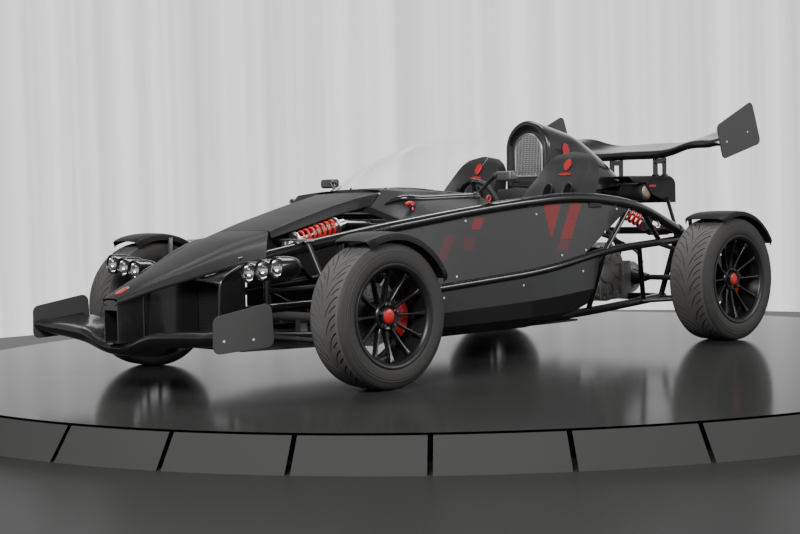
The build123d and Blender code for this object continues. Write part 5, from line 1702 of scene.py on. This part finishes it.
def seat_pads():
    pads = Form()
    for s in (1, -1):
        for y0, y1 in ((175, 262), (268, 292), (298, 385)):
            rows = []
            for x, z in ((-1060, 293), (-1160, 272), (-1260, 252), (-1350, 236)):
                rows.append([(x, s * (y0 + (y1 - y0) * t), z + 12 * (1 - (2 * t - 1) ** 4))
                             for t in (0, 0.08, 0.25, 0.5, 0.75, 0.92, 1)])
            pads.skin(rows)
    add_piece(pads, "seat_pads", "chassis", ["leather"], (), 0, 50, 8)


dash_display()
wheel_boss()
seat_pads()


# Finishes for the solids that are shown as they are.
for paint, nodes in {
    "frame_black": ["side_frames", "crossmembers", "rear_wing_stands"],
    "body_black": ["front_wing", "rear_wing", "lower_panels", "front_fender_left", "front_fender_right",
                   "rear_fenders", "headlamp_pods", "mirrors"],
    "body_grey": ["nose_cone", "scuttle", "intake_scoop", "tail_fairing"],
    "panel": ["side_panels"],
    "plate_grey": ["wing_endplates"],
    "matte_black": ["floor_pan", "dashboard", "radiator"],
    "clear": ["windscreen"],
    "lens": ["headlamp_lenses"],
    "seat": ["seats"],
    "cast_alloy": ["engine", "knuckle_left", "knuckle_right", "rear_uprights", "rack_housing"],
    "bright_steel": ["dampers", "rack_rods", "intake_mesh"],
    "satin_black": ["wishbones", "driveshafts", "exhaust"],
    "trim_red": ["tow_eyes"],
    "spring_red": ["springs"],
    "red_lens": ["tail_lamps"],
    "wheel_black": ["wheel_front_left", "wheel_front_right", "wheel_rear_left", "wheel_rear_right"],
    "rubber": ["tyre_front_left", "tyre_front_right", "tyre_rear_left", "tyre_rear_right"],
    "leather": ["steering_wheel"],
}.items():
    for node in nodes:
        NODES[node].data.materials.clear()
        NODES[node].data.materials.append(PAINT[paint])


# Stage, in metres: a round table with a sloped edge in segments, a dark floor about it and a white curtain.
TABLE = (-0.09, 0.04)
TABLE_REACH = 2.5
TABLE_STEP = 0.12
SEGMENTS = 36
ROUND = 180


def stage_piece(name, points, faces, tint, gloss):
    """Floor piece that is no part of the car."""
    mesh = bpy.data.meshes.new(name)
    mesh.from_pydata([(TABLE[0] + r * math.cos(a), TABLE[1] + r * math.sin(a), h) for r, a, h in points],
                     [], faces)
    piece = bpy.data.objects.new(name, mesh)
    bpy.context.collection.objects.link(piece)
    paint = bpy.data.materials.new(name)
    paint.use_nodes = True
    shader = paint.node_tree.nodes["Principled BSDF"]
    shader.inputs["Base Color"].default_value = (tint, tint, 0.97 * tint, 1)
    shader.inputs["Roughness"].default_value = gloss
    shader.inputs["Specular IOR Level"].default_value = 0.01
    mesh.materials.append(paint)


def add_stage():
    turn = [2 * math.pi * k / ROUND for k in range(ROUND)]
    whole = [tuple(range(ROUND))]
    stage_piece("turntable", [(TABLE_REACH, a, 0) for a in turn], whole, 0.03, 0.13)
    stage_piece("ground", [(4.2, a, -TABLE_STEP) for a in turn], whole, 0.03, 0.3)
    points, faces = [], []
    for k in range(SEGMENTS):
        for j in range(6):
            a = 2 * math.pi * (k + 0.27 + 0.96 * j / 5) / SEGMENTS
            if j:
                n = len(points)
                faces.append((n - 2, n - 1, n + 1, n))
            points += [(TABLE_REACH + 0.012, a, -0.006), (TABLE_REACH + 0.1, a, -TABLE_STEP)]
    stage_piece("apron", points, faces, 0.05, 0.5)


def dot_with(tree, where, way):
    node = tree.nodes.new("ShaderNodeVectorMath")
    node.operation = "DOT_PRODUCT"
    node.inputs[1].default_value = way
    tree.links.new(where, node.inputs[0])
    return node.outputs["Value"]


def add_room():
    """Grey room that darkens upwards, with a white curtain in folds behind the car's far side."""
    world = bpy.data.worlds.new("studio")
    world.use_nodes = True
    tree = world.node_tree
    where = tree.nodes.new("ShaderNodeTexCoord").outputs["Generated"]
    split = tree.nodes.new("ShaderNodeSeparateXYZ")
    tree.links.new(where, split.inputs[0])
    room = tree.nodes.new("ShaderNodeValToRGB")
    room.color_ramp.elements[0].position = 0.16
    room.color_ramp.elements[0].color = (0.41, 0.415, 0.425, 1)
    room.color_ramp.elements[1].position = 0.62
    room.color_ramp.elements[1].color = (0.062, 0.064, 0.067, 1)
    tree.links.new(split.outputs[2], room.inputs[0])
    toward = dot_with(tree, where, (-0.688, -0.726, 0))
    beside = dot_with(tree, where, (0.726, -0.688, 0))
    curtain = math_node(tree, "MULTIPLY_ADD", toward, 4.0, -2.6, True)
    low = math_node(tree, "MULTIPLY_ADD", split.outputs[2], -4.0, 2.2, True)
    folds = tree.nodes.new("ShaderNodeTexNoise")
    folds.noise_dimensions = "1D"
    folds.inputs["Scale"].default_value = 42
    folds.inputs["Detail"].default_value = 3
    tree.links.new(math_node(tree, "DIVIDE", beside, toward), folds.inputs["W"])
    lit = math_node(tree, "MULTIPLY_ADD", folds.outputs[0], 2.4, -0.6, True)
    cloth = mix_colour(tree, lit, (0.62, 0.62, 0.63, 1), (1.0, 1.0, 1.0, 1))
    shade = mix_colour(tree, math_node(tree, "MULTIPLY", curtain, low), room.outputs[0], cloth)
    tree.links.new(shade, tree.nodes["Background"].inputs[0])
    tree.nodes["Background"].inputs[1].default_value = 1.5
    bpy.context.scene.world = world


add_camera()
add_stage()
add_room()
add_light("key", (5.0, 3.4, 3.4), (0.3, 0, 0.4), (2.6, 1.6), 430)
add_light("top", (-0.8, -0.6, 4.4), (-0.4, 0, 0.4), (5, 1.2), 210)
add_light("side", (-2.6, 5.2, 2.6), (-0.6, 0, 0.5), (4, 1), 150)

for head in (HEX_HEAD, DOME_HEAD):
    bpy.data.objects.remove(head)
